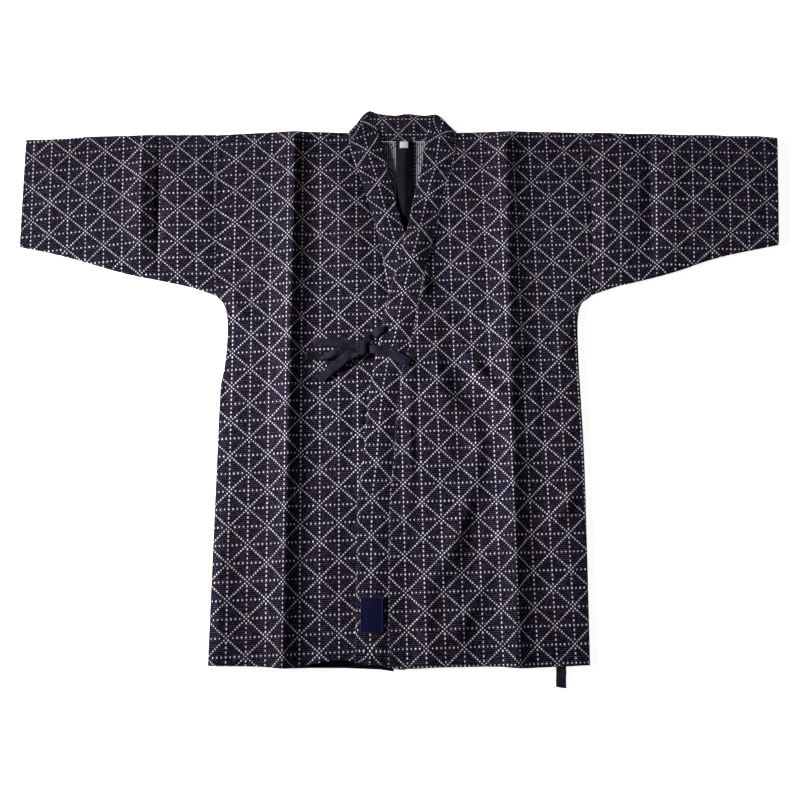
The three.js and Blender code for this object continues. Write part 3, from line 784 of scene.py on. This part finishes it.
def makeBand(side):
    name = "collarRight" if side == 1 else "collarLeft"
    thick = cloth["collarThick"]
    count = round((body["shoulder"] - body["hem"]) / band["rowStep"])
    seamEnd, freeEnd = (Vector(bandPoint(side, body["shoulder"], across)) for across in (0, 1))
    endLine = (freeEnd - seamEnd).normalized()
    endOut = Vector((-endLine.y, endLine.x, 0)) * (1 if endLine.x > 0 else -1)
    grid = []
    length = 0.0
    before = bandPoint(side, body["hem"], 0.5)
    for row in range(count + 1):
        seamY = blend(body["hem"], body["shoulder"], row / count)
        turned = soft(1 - (count - row) / band["turnRows"]) * band["turnBack"]
        middle = bandPoint(side, seamY, 0.5)
        length += math.dist(middle, before)
        before = middle
        seamX, freeX, freeY = bandPoint(side, seamY, 0)[0], *bandPoint(side, seamY, 1)
        wide = math.hypot(freeX - seamX, freeY - seamY) if seamY >= body["neckBottom"] else abs(freeX - seamX)
        line = []
        for across in spread(0, 1, band["columns"]):
            x, y = bandPoint(side, seamY, across)
            x -= endOut.x * turned
            y -= endOut.y * turned
            fromHem = row * band["rowStep"] / panel["hemReach"]
            if fromHem < 1:
                y = blend(along(frontHem, 1, x), y, fromHem)
            puff = band["puff"] * math.sin(math.pi * across) ** 2 + wave(x, y, 24, 0.8) * soft(across * 3)
            if side == 2:
                puff += creaseHeight("frontLeft", x, y) * 0.6 * (1 - across)
            height = blend(band["seamThick"], thick, soft(across / 0.3)) + puff
            offset = (across - 0.5) * wide * (1 if side == 1 else -1)
            u = (offset - band["mid"][side]) / band["widthStep"]
            v = (length - band["phase"][side]) / band["step"][side]
            line.append(wall(x, y, bandRest(side, x, y, across), height, (u, v)))
        grid.append(line)
    # Where the band turns behind the neck its fold rolls down
    rollOver(grid, 5, band["roll"], endOut, band["rollReach"], lambda reach: max(0.2, reach - thick))
    return shellMesh(name, grid, [outerWeave], rounding=0.85)


neckBand = {"columns": 64, "rows": 14, "crossing": (-3, 442), "steps": (2.85, 2.9), "lean": 3.6,
            "left": -80, "right": 88, "endReach": 12}


def makeNeckBand():
    grid = []
    for up in spread(0, 1, neckBand["rows"]):
        line = []
        for x in spread(neckBand["left"], neckBand["right"], neckBand["columns"]):
            y = blend(straight(backNeck, 1, x) + 0.3, along(collarTop, 1, x), up)
            ends = soft((x - neckBand["left"]) / neckBand["endReach"])
            ends *= soft((neckBand["right"] - x) / neckBand["endReach"])
            lift = (neckBand["lean"] * soft(up * 1.4) + wave(x, y, 22, 0.7)) * ends
            u = (y - neckBand["crossing"][1]) / neckBand["steps"][1]
            v = (x - neckBand["crossing"][0]) / neckBand["steps"][0]
            line.append(wall(x, y, 0.0, cloth["collarThick"] + lift, (u, v)))
        grid.append(line)
    return shellMesh("collarBack", grid, [outerWeave], rounding=0.8)


# Sleeves: flattened tubes
sleeveLook = {"flat": 44, "curve": 6, "step": 3.3, "dip": 0.7, "dipWide": 6.0,
              "fold": {1: 388, 2: 408}, "slopes": {1: 1.2, 2: 4.0}}


def sleeveSlope(side, place, start, end):
    # The sleeves were folded across; the cloth slopes down to the fold and again to the cuff
    fold = sleeveLook["fold"][side]
    high = sleeveLook["slopes"][side]
    if place < fold:
        return high * soft((place - start) / 24) * (fold - place) / (fold - start)
    return high * 0.9 * soft((place - fold) / 8) * (1 - 0.75 * (place - fold) / (end - fold))


def makeSleeve(side):
    name = "sleeveRight" if side == 1 else "sleeveLeft"
    rows = sleeveRightRows if side == 1 else sleeveLeftRows
    start, end = rows[0][0], rows[-1][0]
    flat, curve, thick = sleeveLook["flat"], sleeveLook["curve"], cloth["thick"]
    height = levels["inner"] + thick
    radius = height / 2
    grid = []
    for place in spread(start, end, round((end - start) / sleeveLook["step"])):
        top = Vector((along(rows, 1, place), along(rows, 2, place)))
        low = Vector((along(rows, 3, place), along(rows, 4, place)))
        span = (top - low).length
        heading = (top - low) / span

        def put(distance, z, under=False):
            # The underside's weave goes on round the upper fold
            spot = low + heading * distance
            u, v = weaveAt(name, spot.x, spot.y)
            if under:
                v = 2 * weaveAt(name, top.x, top.y)[1] - v
            return Vector((spot.x, spot.y, z)), (u, v)

        def roundFold(centre, startAngle):
            points = []
            for i in range(1, curve):
                angle = startAngle + math.pi * i / curve
                across, up = math.cos(angle), math.sin(angle)
                outer, step = put(centre + radius * across, radius + radius * up)
                small = radius - thick
                inner, _ = put(centre + small * across, radius + small * up)
                points.append((outer, inner, step))
            return points

        ring = []
        for distance in spread(radius, span - radius, flat):
            point, step = put(distance, 0, under=True)
            ring.append((point, point + Vector((0, 0, thick)), step))
        ring += roundFold(span - radius, -math.pi / 2)
        for i, distance in enumerate(spread(span - radius, radius, flat)):
            across = math.sin(math.pi * i / flat)
            point, step = put(distance, 0)
            fromBody = place - start
            easy = across ** 0.6 * soft(fromBody / 22) * (0.35 + 0.65 * soft((end - place) / 40))
            rise = (creaseHeight(name, point.x, point.y) + wave(point.x, point.y, 44, 1.1)) * easy
            rise += sleeveSlope(side, place, start, end) * across ** 0.5
            rise -= sleeveLook["dip"] * hump(fromBody, sleeveLook["dipWide"]) * across ** 0.3
            ring.append(wall(point.x, point.y, height + rise - thick, thick, step))
        ring += roundFold(radius, math.pi / 2)
        grid.append(ring)
    return shellMesh(name, grid, [outerWeave, innerWeave], wrap=True, rounding=0.8)


pieces = {}
for side, word in ((1, "Right"), (2, "Left")):
    pieces["front" + word] = makeFront(side)
    pieces["back" + word] = makeBack(side)
    pieces["collar" + word] = makeBand(side)
    pieces["sleeve" + word] = makeSleeve(side)
pieces["collarBack"] = makeNeckBand()
print("cloth pieces made")


# What lies on the cloth
def frontTop(x, y):
    onBand = cloth["collarThick"] + 1.5
    if x < along(freeEdge, 2, y):
        if x > along(frontSeam, 1, y):
            return levels["inner"] + onBand
        return frontRest(x, y, 1) + cloth["thick"]
    if x < along(frontSeam, 2, y):
        return max(levels["inner"], overRest(x, y)) + onBand
    return leftRest(x, y) + cloth["thick"]


def smoothPath(points, count):
    # Even points on a smooth line through the given ones
    padded = [points[0] * 2 - points[1], *points, points[-1] * 2 - points[-2]]
    dense = []
    for a, b, c, d in zip(padded, padded[1:], padded[2:], padded[3:]):
        for i in range(16):
            t = i / 16
            dense.append(0.5 * (2 * b + (c - a) * t + (2 * a - 5 * b + 4 * c - d) * t * t
                                + (3 * b - a - 3 * c + d) * t ** 3))
    dense.append(points[-1])
    lengths = [0.0]
    for a, b in zip(dense, dense[1:]):
        lengths.append(lengths[-1] + (b - a).length)
    out = []
    k = 0
    for target in spread(0, lengths[-1], count):
        while k < len(dense) - 2 and lengths[k + 1] < target:
            k += 1
        span = max(lengths[k + 1] - lengths[k], 1e-9)
        out.append(dense[k].lerp(dense[k + 1], min(max((target - lengths[k]) / span, 0.0), 1.0)))
    return out, lengths[-1]


tie = {"wide": 14.6, "thick": 1.5, "cells": 8, "step": 1.6}
tapeLengths = {}


def makeTie(name, points, widths=None, turns=None, slant=0, side=None, wide=tie["wide"], crown=0.25):
    # A flat tape along a line, a little crowned. widths and turns change its width and tilt from root to end,
    # and slant cuts its end askew
    count = max(10, round(sum((b - a).length for a, b in zip(points, points[1:])) / tie["step"]))
    path, length = smoothPath(points, count)
    grid = []
    for i, point in enumerate(path):
        heading = (path[min(i + 1, count)] - path[max(i - 1, 0)]).normalized()
        across = Vector(side) if side else Vector((-heading.y, heading.x, 0)).normalized()
        t = i / count
        if turns:
            across = Matrix.Rotation(math.radians(straight(turns, 1, t)), 3, heading) @ across
        up = heading.cross(across).normalized()
        share = straight(widths, 1, t) if widths else 1.0
        line = []
        for w in spread(-0.5, 0.5, tie["cells"]):
            centre = point + across * w * wide * share + up * crown * (1 - (2 * w) ** 2)
            centre += heading * slant * w * soft(1 - (1 - t) * 6)
            half = up * tie["thick"] / 2
            line.append((centre + half, centre - half, (w * wide, t * length)))
        grid.append(line)
    pieces[name] = shellMesh(name, grid, [tieTape], rounding=0.9)
    tapeLengths[name] = length


# Points of each tape from root to end with their lift above the cloth, its widths and turns, and how its
# end is cut
ties = {
    "tieRight": {
        "path": [(-146, 67.5, 0), (-130, 67.5, 0), (-118, 67.5, 0.2), (-106, 70, 1.8), (-92, 75, 1.0),
                 (-68.4, 79, 0.7)],
        "widths": [(0, 0.8), (0.32, 0.78), (0.5, 0.8), (0.75, 0.75), (1, 0.7)],
        "turns": [(0, 4), (0.28, 5), (0.36, -24), (0.5, -12), (0.62, 14), (1, 6)], "slant": 0,
    },
    "tieLeft": {
        "path": [(-49.6, 78, 3.2), (-40, 77.5, 0.8), (-28, 75, 0.3), (-16, 71.5, 0), (-4, 66, 0), (8, 60, 0),
                 (16, 56.5, 0)],
        "widths": [(0, 0.8), (0.2, 0.92), (0.4, 0.96), (1, 0.96)],
        "turns": [(0, 10), (0.3, -6), (0.6, 5), (1, 0)], "slant": 1.5,
    },
    "tieTailLow": {
        "path": [(-68, 73, 3.4), (-76, 69.5, 3.8), (-85, 64, 3.6), (-95, 56, 2.2), (-109, 44, 0.6),
                 (-124, 30.5, 0)],
        "widths": [(0, 0.86), (0.2, 1), (0.5, 1), (1, 1)],
        "turns": [(0, 16), (0.16, -14), (0.34, 12), (0.52, -7), (0.75, 5), (1, 0)], "slant": -5,
    },
    "tieTailHigh": {
        "path": [(-55, 91, 4.6), (-48, 96, 4.0), (-41, 101, 1.8), (-34, 106, 0.4), (-27, 111.5, 0)],
        "widths": [(0, 0.86), (0.4, 0.8), (1, 0.76)],
        "turns": [(0, 7), (0.5, 5), (1, 3)], "slant": 2,
    },
}


def tiePoints(path):
    # The tape lies on the highest cloth under its width
    points = []
    reach = tie["wide"] / 2 + 1
    for x, y, lift in path:
        angles = [0.7854 * i for i in range(8)]
        around = [frontTop(x + reach * math.cos(angle), y + reach * math.sin(angle)) for angle in angles]
        base = max(frontTop(x, y), *around)
        points.append(Vector((x, y, base + levels["gap"] + tie["thick"] / 2 + lift)))
    return points


for name, look in ties.items():
    makeTie(name, tiePoints(look["path"]), look["widths"], look["turns"], look["slant"])

# The bow's loop runs out from the knot, turns over and comes back above itself
loop = {"start": -66.5, "end": -133, "startY": 84.5, "endY": 90.5, "low": 9.8, "high": 12.6, "swell": 1.2,
        "widths": [(0, 0.9), (0.12, 1), (0.5, 0.68), (0.88, 1.06), (1, 0.9)],
        "turns": [(0, 0), (0.5, 0), (0.66, 7), (0.8, -8), (0.92, 6), (1, 0)]}


def loopPoints():
    middle = (loop["low"] + loop["high"]) / 2
    radius = (loop["high"] - loop["low"]) / 2
    end = loop["end"] + radius
    out = [(blend(loop["start"], end, t), blend(loop["startY"], loop["endY"], t)) for t in spread(0, 1, 6)]
    points = [Vector((x, y, loop["low"] + 0.25 * math.sin(i))) for i, (x, y) in enumerate(out)]
    for i in range(1, 6):
        angle = -math.pi / 2 - math.pi * i / 6
        x, z = end + radius * math.cos(angle), middle + radius * math.sin(angle)
        points.append(Vector((x, loop["endY"], z)))
    for i, (x, y) in enumerate(reversed(out)):
        points.append(Vector((x, y, loop["high"] + loop["swell"] * math.sin(math.pi * i / 6))))
    return points


makeTie("tieLoop", loopPoints(), loop["widths"], loop["turns"], side=(0, 1, 0), crown=0.15)

# The knot: one turn of tape drawn round the others
knot = {"x": -59.0, "y": 80.0, "wide": 17, "long": 23, "base": 6.9, "top": 15.2, "wall": 1.5, "square": 0.62,
        "around": 40, "cells": 12, "turn": 62}


def makeKnot():
    around = knot["around"]
    middleZ = (knot["base"] + knot["top"]) / 2
    halfHigh = (knot["top"] - knot["base"]) / 2
    grid = []
    for t in spread(-0.5, 0.5, knot["cells"]):
        pinch = 1 - 0.16 * (abs(2 * t) ** 3)
        ring = []
        for k in range(around):
            angle = 2 * math.pi * k / around
            cosine, sine = math.cos(angle), math.sin(angle)
            spreadOut = math.copysign(abs(cosine) ** knot["square"], cosine)
            rise = math.copysign(abs(sine) ** knot["square"], sine)
            fold = (0.5 * math.sin(3.2 * spreadOut + 2.2 * t) + 0.35 * math.sin(9 * t)) * max(rise, 0)
            x = knot["x"] + knot["wide"] * t + 1.6 * spreadOut * t
            y = knot["y"] + (knot["long"] / 2) * pinch * spreadOut
            point = Vector((x, y, middleZ + halfHigh * pinch * rise + fold))
            inward = (Vector((x, knot["y"], middleZ)) - point).normalized() * knot["wall"]
            step = (knot["wide"] * t, min(k, around - k) * knot["turn"] / around)
            ring.append((point, point + inward, step))
        grid.append(ring)
    middleRing = [point for point, _, _ in grid[knot["cells"] // 2]]
    pieces["tieKnot"] = shellMesh("tieKnot", grid, [tieTape], wrap=True, rounding=0.9)
    tapeLengths["tieKnot"] = sum((b - a).length for a, b in zip(middleRing, middleRing[1:] + middleRing[:1]))


makeKnot()

# The inner tie lies between the left front and the back, and its end comes out under the hem
innerTie = {"wide": 15, "path": [
    (256, -30, 3.05), (254, -110, 3.05), (248, -200, 3.05), (241, -300, 3.05), (236, -370, 3.05),
    (235.5, -396, 3.05), (235.5, -403, 2.9), (235.5, -410, 1.5), (235, -419, 0.9), (235, -429, 0.9),
]}
makeTie("innerTie", [Vector(point) for point in innerTie["path"]], slant=2, wide=innerTie["wide"], crown=0.05)
print("ties made")

# Tapes inside, label and size tag
backTape = {"wide": 29, "top": 430.5, "bottom": 0, "ridge": 3.4, "rows": 108, "cells": 16}
hemTape = {"left": -176, "right": -9, "rows": 4, "cells": 56, "edges": [
    (-176, -402, -382), (-132, -401, -382), (-81, -401, -382), (-29, -403, -384), (-9, -406, -388)]}
sizeTag = {"x": 6.5, "y": 423.2, "wide": 13.6, "long": 11.8, "cells": 14, "curl": 0.3, "hem": 0.0}
label = {"x": -41.5, "y": -325, "wide": 34, "long": 52, "cells": 26, "curl": 0.2, "hem": 0.3}


def tapeRise(offset, y):
    # The tape tents over the seam in the open neck
    inNeck = soft((y - 285) / 30) * (0.5 + 0.5 * soft((432 - y) / 26))
    return backTape["ridge"] * max(0.0, 1 - abs(offset) / 14.5) ** 0.95 * inNeck + 0.15


def makeBackTape():
    grid = []
    for y in spread(backTape["bottom"], backTape["top"], backTape["rows"]):
        line = []
        for offset in spread(-backTape["wide"] / 2, backTape["wide"] / 2, backTape["cells"]):
            z = levels["sewn"] + tapeRise(offset, y) + wave(offset * 3, y, 40, 0.5) * soft((y - 290) / 30)
            line.append(wall(backSeam["x"] + offset, y, z, cloth["tapeThick"], (offset, y)))
        grid.append(line)
    return shellMesh("backTape", grid, [seamTape], rounding=0.8)


def makeHemTape():
    grid = []
    for t in spread(0, 1, hemTape["rows"]):
        line = []
        for x in spread(hemTape["left"], hemTape["right"], hemTape["cells"]):
            y = blend(straight(hemTape["edges"], 1, x), straight(hemTape["edges"], 2, x), t)
            line.append(wall(x, y, levels["sewn"], cloth["tapeThick"] + 0.15 * math.sin(x / 5), (y, x)))
        grid.append(line)
    return shellMesh("hemTape", grid, [hemTapeNavyAndShade], rounding=0.8)


def makePatch(name, patch, finish, bed):
    down = round(patch["cells"] * patch["long"] / patch["wide"])
    grid = []
    for t in spread(-0.5, 0.5, down):
        line = []
        for s in spread(-0.5, 0.5, patch["cells"]):
            x = patch["x"] + patch["wide"] * s
            y = patch["y"] + patch["long"] * t
            edge = min(patch["wide"] * (0.5 - abs(s)), patch["long"] * (0.5 - abs(t)))
            curl = patch["curl"] * (1 - soft(edge / 4)) * wave(x * 5, y * 5, 30, 1)
            hem = patch["hem"] * (1 - soft((edge - 2.2) / 0.8))
            line.append(wall(x, y, bed(x, y) + levels["gap"] * 0.6 + curl, cloth["labelThick"] + hem, (x, y)))
        grid.append(line)
    return shellMesh(name, grid, [finish], rounding=0.8)


def labelBed(x, y):
    across = (x - along(frontSeam, 2, y)) / (along(freeEdge, 2, y) - along(frontSeam, 2, y))
    crown = 0.7 * math.sin(math.pi * min(max(across, 0), 1))
    return overRest(x, y) + cloth["collarThick"] + crown + wave(x, y, 24, 0.8)


def tagBed(x, y):
    return levels["sewn"] + cloth["tapeThick"] + 1.6 + tapeRise(x - backSeam["x"], y) * 0.45


pieces["backTape"] = makeBackTape()
pieces["hemTape"] = makeHemTape()
pieces["sizeTag"] = makePatch("sizeTag", sizeTag, whiteSatin, tagBed)
pieces["collarLabel"] = makePatch("collarLabel", label, blueSatin, labelBed)
print("tapes, label and tag made")


# Stitches follow a line of points, made with geometry nodes
def stitchTree(name, finish, sizes):
    tree = bpy.data.node_groups.new(name, "GeometryNodeTree")
    tree.interface.new_socket("Geometry", in_out="INPUT", socket_type="NodeSocketGeometry")
    for title, value in sizes.items():
        socket = tree.interface.new_socket(title, in_out="INPUT", socket_type="NodeSocketFloat")
        socket.default_value = value * 0.001
    tree.interface.new_socket("Geometry", in_out="OUTPUT", socket_type="NodeSocketGeometry")
    source = tree.nodes.new("NodeGroupInput")
    ball = tree.nodes.new("GeometryNodeMeshUVSphere")
    setInputs(ball, {"Segments": 6, "Rings": 4, "Radius": 0.5})
    stretch = tree.nodes.new("ShaderNodeCombineXYZ")
    for socket, title in zip(stretch.inputs, ("Thread", "Thread", "Stitch length")):
        tree.links.new(source.outputs[title], socket)

    # The line becomes a curve, then even points, then a stitch on each of them
    chain = [
        ("MeshToCurve", "Mesh", "Curve"), ("ResampleCurve", "Curve", "Curve"),
        ("CurveToPoints", "Curve", "Points"), ("InstanceOnPoints", "Points", "Instances"),
        ("RealizeInstances", "Geometry", "Geometry"), ("SetShadeSmooth", "Geometry", "Geometry"),
        ("SetMaterial", "Geometry", "Geometry"),
    ]
    flow = source.outputs["Geometry"]
    made = []
    for kind, start, end in chain:
        made.append(tree.nodes.new("GeometryNode" + kind))
        tree.links.new(flow, made[-1].inputs[start])
        flow = made[-1].outputs[end]
    _, resample, toPoints, instance, _, _, setMaterial = made
    resample.mode = "LENGTH"
    toPoints.mode = "EVALUATED"
    setMaterial.inputs["Material"].default_value = finish
    tree.links.new(source.outputs["Spacing"], resample.inputs["Length"])
    tree.links.new(ball.outputs["Mesh"], instance.inputs["Instance"])
    tree.links.new(toPoints.outputs["Rotation"], instance.inputs["Rotation"])
    tree.links.new(stretch.outputs[0], instance.inputs["Scale"])
    tree.links.new(flow, tree.nodes.new("NodeGroupOutput").inputs["Geometry"])
    return tree


def sewLines(name, lines, finish, spacing, length, thick):
    vertices, edges = [], []
    for line in lines:
        first = len(vertices)
        vertices += [placed(point) for point in line]
        edges += [(first + i, first + i + 1) for i in range(len(line) - 1)]
    mesh = bpy.data.meshes.new(name + "Line")
    mesh.from_pydata(vertices, edges, [])
    guide = addObject(name + "Line", mesh)
    sizes = {"Spacing": spacing, "Stitch length": length, "Thread": thick}
    modifier = guide.modifiers.new("stitches", "NODES")
    modifier.node_group = stitchTree(name + "Stitches", finish, sizes)
    for item in modifier.node_group.interface.items_tree:
        if item.in_out == "INPUT" and item.name in sizes:
            modifier[item.identifier] = item.default_value
    graph = bpy.context.evaluated_depsgraph_get()
    made = bpy.data.meshes.new_from_object(guide.evaluated_get(graph))
    bpy.data.objects.remove(guide)
    made.name = name
    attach(addObject(name, made), "root")


def rectangleLine(patch, inset, above):
    halfWide, halfLong = patch["wide"] / 2 - inset, patch["long"] / 2 - inset
    corners = [(-1, -1), (1, -1), (1, 1), (-1, 1), (-1, -1)]
    line = []
    for (ax, ay), (bx, by) in zip(corners, corners[1:]):
        for t in spread(0, 1, 24)[:-1]:
            x = patch["x"] + halfWide * blend(ax, bx, t)
            y = patch["y"] + halfLong * blend(ay, by, t)
            line.append((x, y, labelBed(x, y) + above))
    return line


def rootLines(points):
    # Two short rows of sewing across a tie's root, the first of these points
    heading = (points[1] - points[0]).normalized()
    across = Vector((-heading.y, heading.x, 0)) * sewing["rootHalf"]
    above = Vector((0, 0, sewing["rootAbove"]))
    centres = [points[0] + heading * inset + above for inset in sewing["rootRows"]]
    return [[centre + across * s for s in spread(-1, 1, 4)] for centre in centres]


# Insets, places and heights in millimetres; then the stitches' spacing, length and thread
sewing = {
    "labelInset": 1.3, "labelAbove": 1.75, "tagY": 427.9, "tagReach": 6, "tagAbove": 1.4,
    "tapeEdge": 12.6, "tapeAbove": 3.62, "tapeRows": range(250, 430, 6),
    "rootHalf": 5.4, "rootRows": (2.0, 8.5), "rootAbove": 1.12,
}
labelLine = rectangleLine(label, sewing["labelInset"], sewing["labelAbove"])
sewLines("labelSewing", [labelLine], blueThread, 2.1, 1.7, 0.42)
tagXs = spread(sizeTag["x"] - sewing["tagReach"], sizeTag["x"] + sewing["tagReach"], 4)
tagLine = [(x, sewing["tagY"], tagBed(x, sewing["tagY"]) + sewing["tagAbove"]) for x in tagXs]
sewLines("tagSewing", [tagLine], whiteThread, 1.6, 1.2, 0.35)
tapeLines = []
for offset in (-sewing["tapeEdge"], sewing["tapeEdge"]):
    above = sewing["tapeAbove"]
    tapeLines.append([(backSeam["x"] + offset, y, above + tapeRise(offset, y)) for y in sewing["tapeRows"]])
sewLines("tapeSewing", tapeLines, navyThread, 3.0, 2.2, 0.4)
leftRoot = tiePoints(ties["tieLeft"]["path"])[::-1]
rightRoot = tiePoints(ties["tieRight"]["path"])
sewLines("tieSewing", rootLines(leftRoot) + rootLines(rightRoot), navyThread, 2.2, 1.7, 0.45)
print("sewing made")

# What each piece is, its flat size in metres, and how it lies
sheets = [
    ("frontRight", "front_right", "weave", (0.33, 0.86), "laid", ["backRight"], 0.235),
    ("frontLeft", "front_left", "weave", (0.33, 0.86), "laid", ["backLeft"], 0.228),
    ("backRight", "back_right", "weave", (0.31, 0.86), "laid", ["floor"], 0.245),
    ("backLeft", "back_left", "weave", (0.31, 0.86), "laid", ["floor"], 0.237),
    ("sleeveRight", "sleeve_right", "weave", (0.32, 0.56), "folded", ["floor"], 0.143),
    ("sleeveLeft", "sleeve_left", "weave", (0.32, 0.56), "folded", ["floor"], 0.138),
    ("collarRight", "collar_right", "weave", (0.055, 0.87), "laid", ["backRight"], 0.0427),
    ("collarLeft", "collar_left", "weave", (0.055, 0.87), "laid", ["frontRight"], 0.0421),
    ("collarBack", "collar_back", "weave", (0.17, 0.048), "laid", ["floor"], 0.0069),
    ("tieRight", "tie_right", "dark_tape", tie["wide"], "laid", ["frontRight"], None),
    ("tieLeft", "tie_left", "dark_tape", tie["wide"], "laid", ["frontRight"], None),
    ("tieTailLow", "tie_tail_low", "dark_tape", tie["wide"], "laid", ["frontRight"], None),
    ("tieTailHigh", "tie_tail_high", "dark_tape", tie["wide"], "laid", ["frontRight"], None),
    ("tieLoop", "tie_loop", "dark_tape", tie["wide"], "folded", ["frontRight"], None),
    ("tieKnot", "tie_knot", "dark_tape", knot["wide"], "folded", ["frontRight"], None),
    ("innerTie", "inner_tie", "dark_tape", innerTie["wide"], "laid", ["backLeft"], None),
    ("backTape", "back_tape", "dark_tape", (0.029, 0.4305), "laid", ["backRight", "backLeft"], None),
    ("hemTape", "hem_tape", "dark_tape", (0.167, 0.02), "laid", ["backRight"], None),
    ("sizeTag", "size_tag", "white_tag", (0.015, 0.012), "laid", ["backTape"], None),
    ("collarLabel", "label", "blue_label", (0.034, 0.052), "laid", ["collarLeft"], None),
]
for name, node, slotName, flat, held, restsOn, area in sheets:
    if name in tapeLengths:
        flat = (flat * 0.001, tapeLengths[name] * 0.001)
    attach(pieces[name], "root")
    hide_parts(node)

# Floor, light and camera
floorMaterial, floorShader = startMaterial("paleFloor")
setInputs(floorShader, {"Base Color": (0.90, 0.90, 0.90), "Roughness": 0.9, "Emission Color": (1.0, 1.0, 1.0),
                        "Emission Strength": 0.9})
bpy.ops.mesh.primitive_plane_add(size=14, location=(0, 0, -0.0004))
floor = bpy.context.object
floor.name = "floor"
floor.data.materials.append(floorMaterial)

lights = {
    "key": {"at": (-4.5, 0.6, 1.38), "size": 0.7, "power": 11.6, "spread": 20},
    "fill": {"at": (0.2, -0.5, 2.6), "size": 2.4, "power": 3, "spread": 180},
}
for name, light in lights.items():
    lamp = bpy.data.lights.new(name, "AREA")
    lamp.shape = "SQUARE"
    lamp.size = light["size"]
    lamp.energy = light["power"]
    lamp.spread = math.radians(light["spread"])
    lampObject = addObject(name, lamp)
    lampObject.location = light["at"]
    lampObject.rotation_euler = (-Vector(light["at"])).to_track_quat("-Z", "Y").to_euler()
world = bpy.data.worlds.new("studio")
world.use_nodes = True
setInputs(world.node_tree.nodes["Background"], {"Color": (0.93, 0.95, 1.0), "Strength": 0.04})
bpy.context.scene.world = world
bpy.context.scene.view_settings.view_transform = "Standard"

# The photo was taken from the hem's side, 78.1 degrees above the floor and 1.547 m away
view = {"distance": 1.547, "elevation": 78.1, "lens": 45.0, "sensor": 36}
camera = bpy.data.cameras.new("camera")
camera.sensor_width = view["sensor"]
camera.lens = view["lens"]
cameraObject = addObject("camera", camera)
target = Vector((draftToFrame.x, draftToFrame.y, 0)) * 0.001
tilt = math.radians(view["elevation"])
cameraObject.location = target + Vector((0, -math.cos(tilt), math.sin(tilt))) * view["distance"]
cameraObject.rotation_euler = (math.radians(90) - tilt, 0, 0)
bpy.context.scene.camera = cameraObject
print("floor, light and camera made")
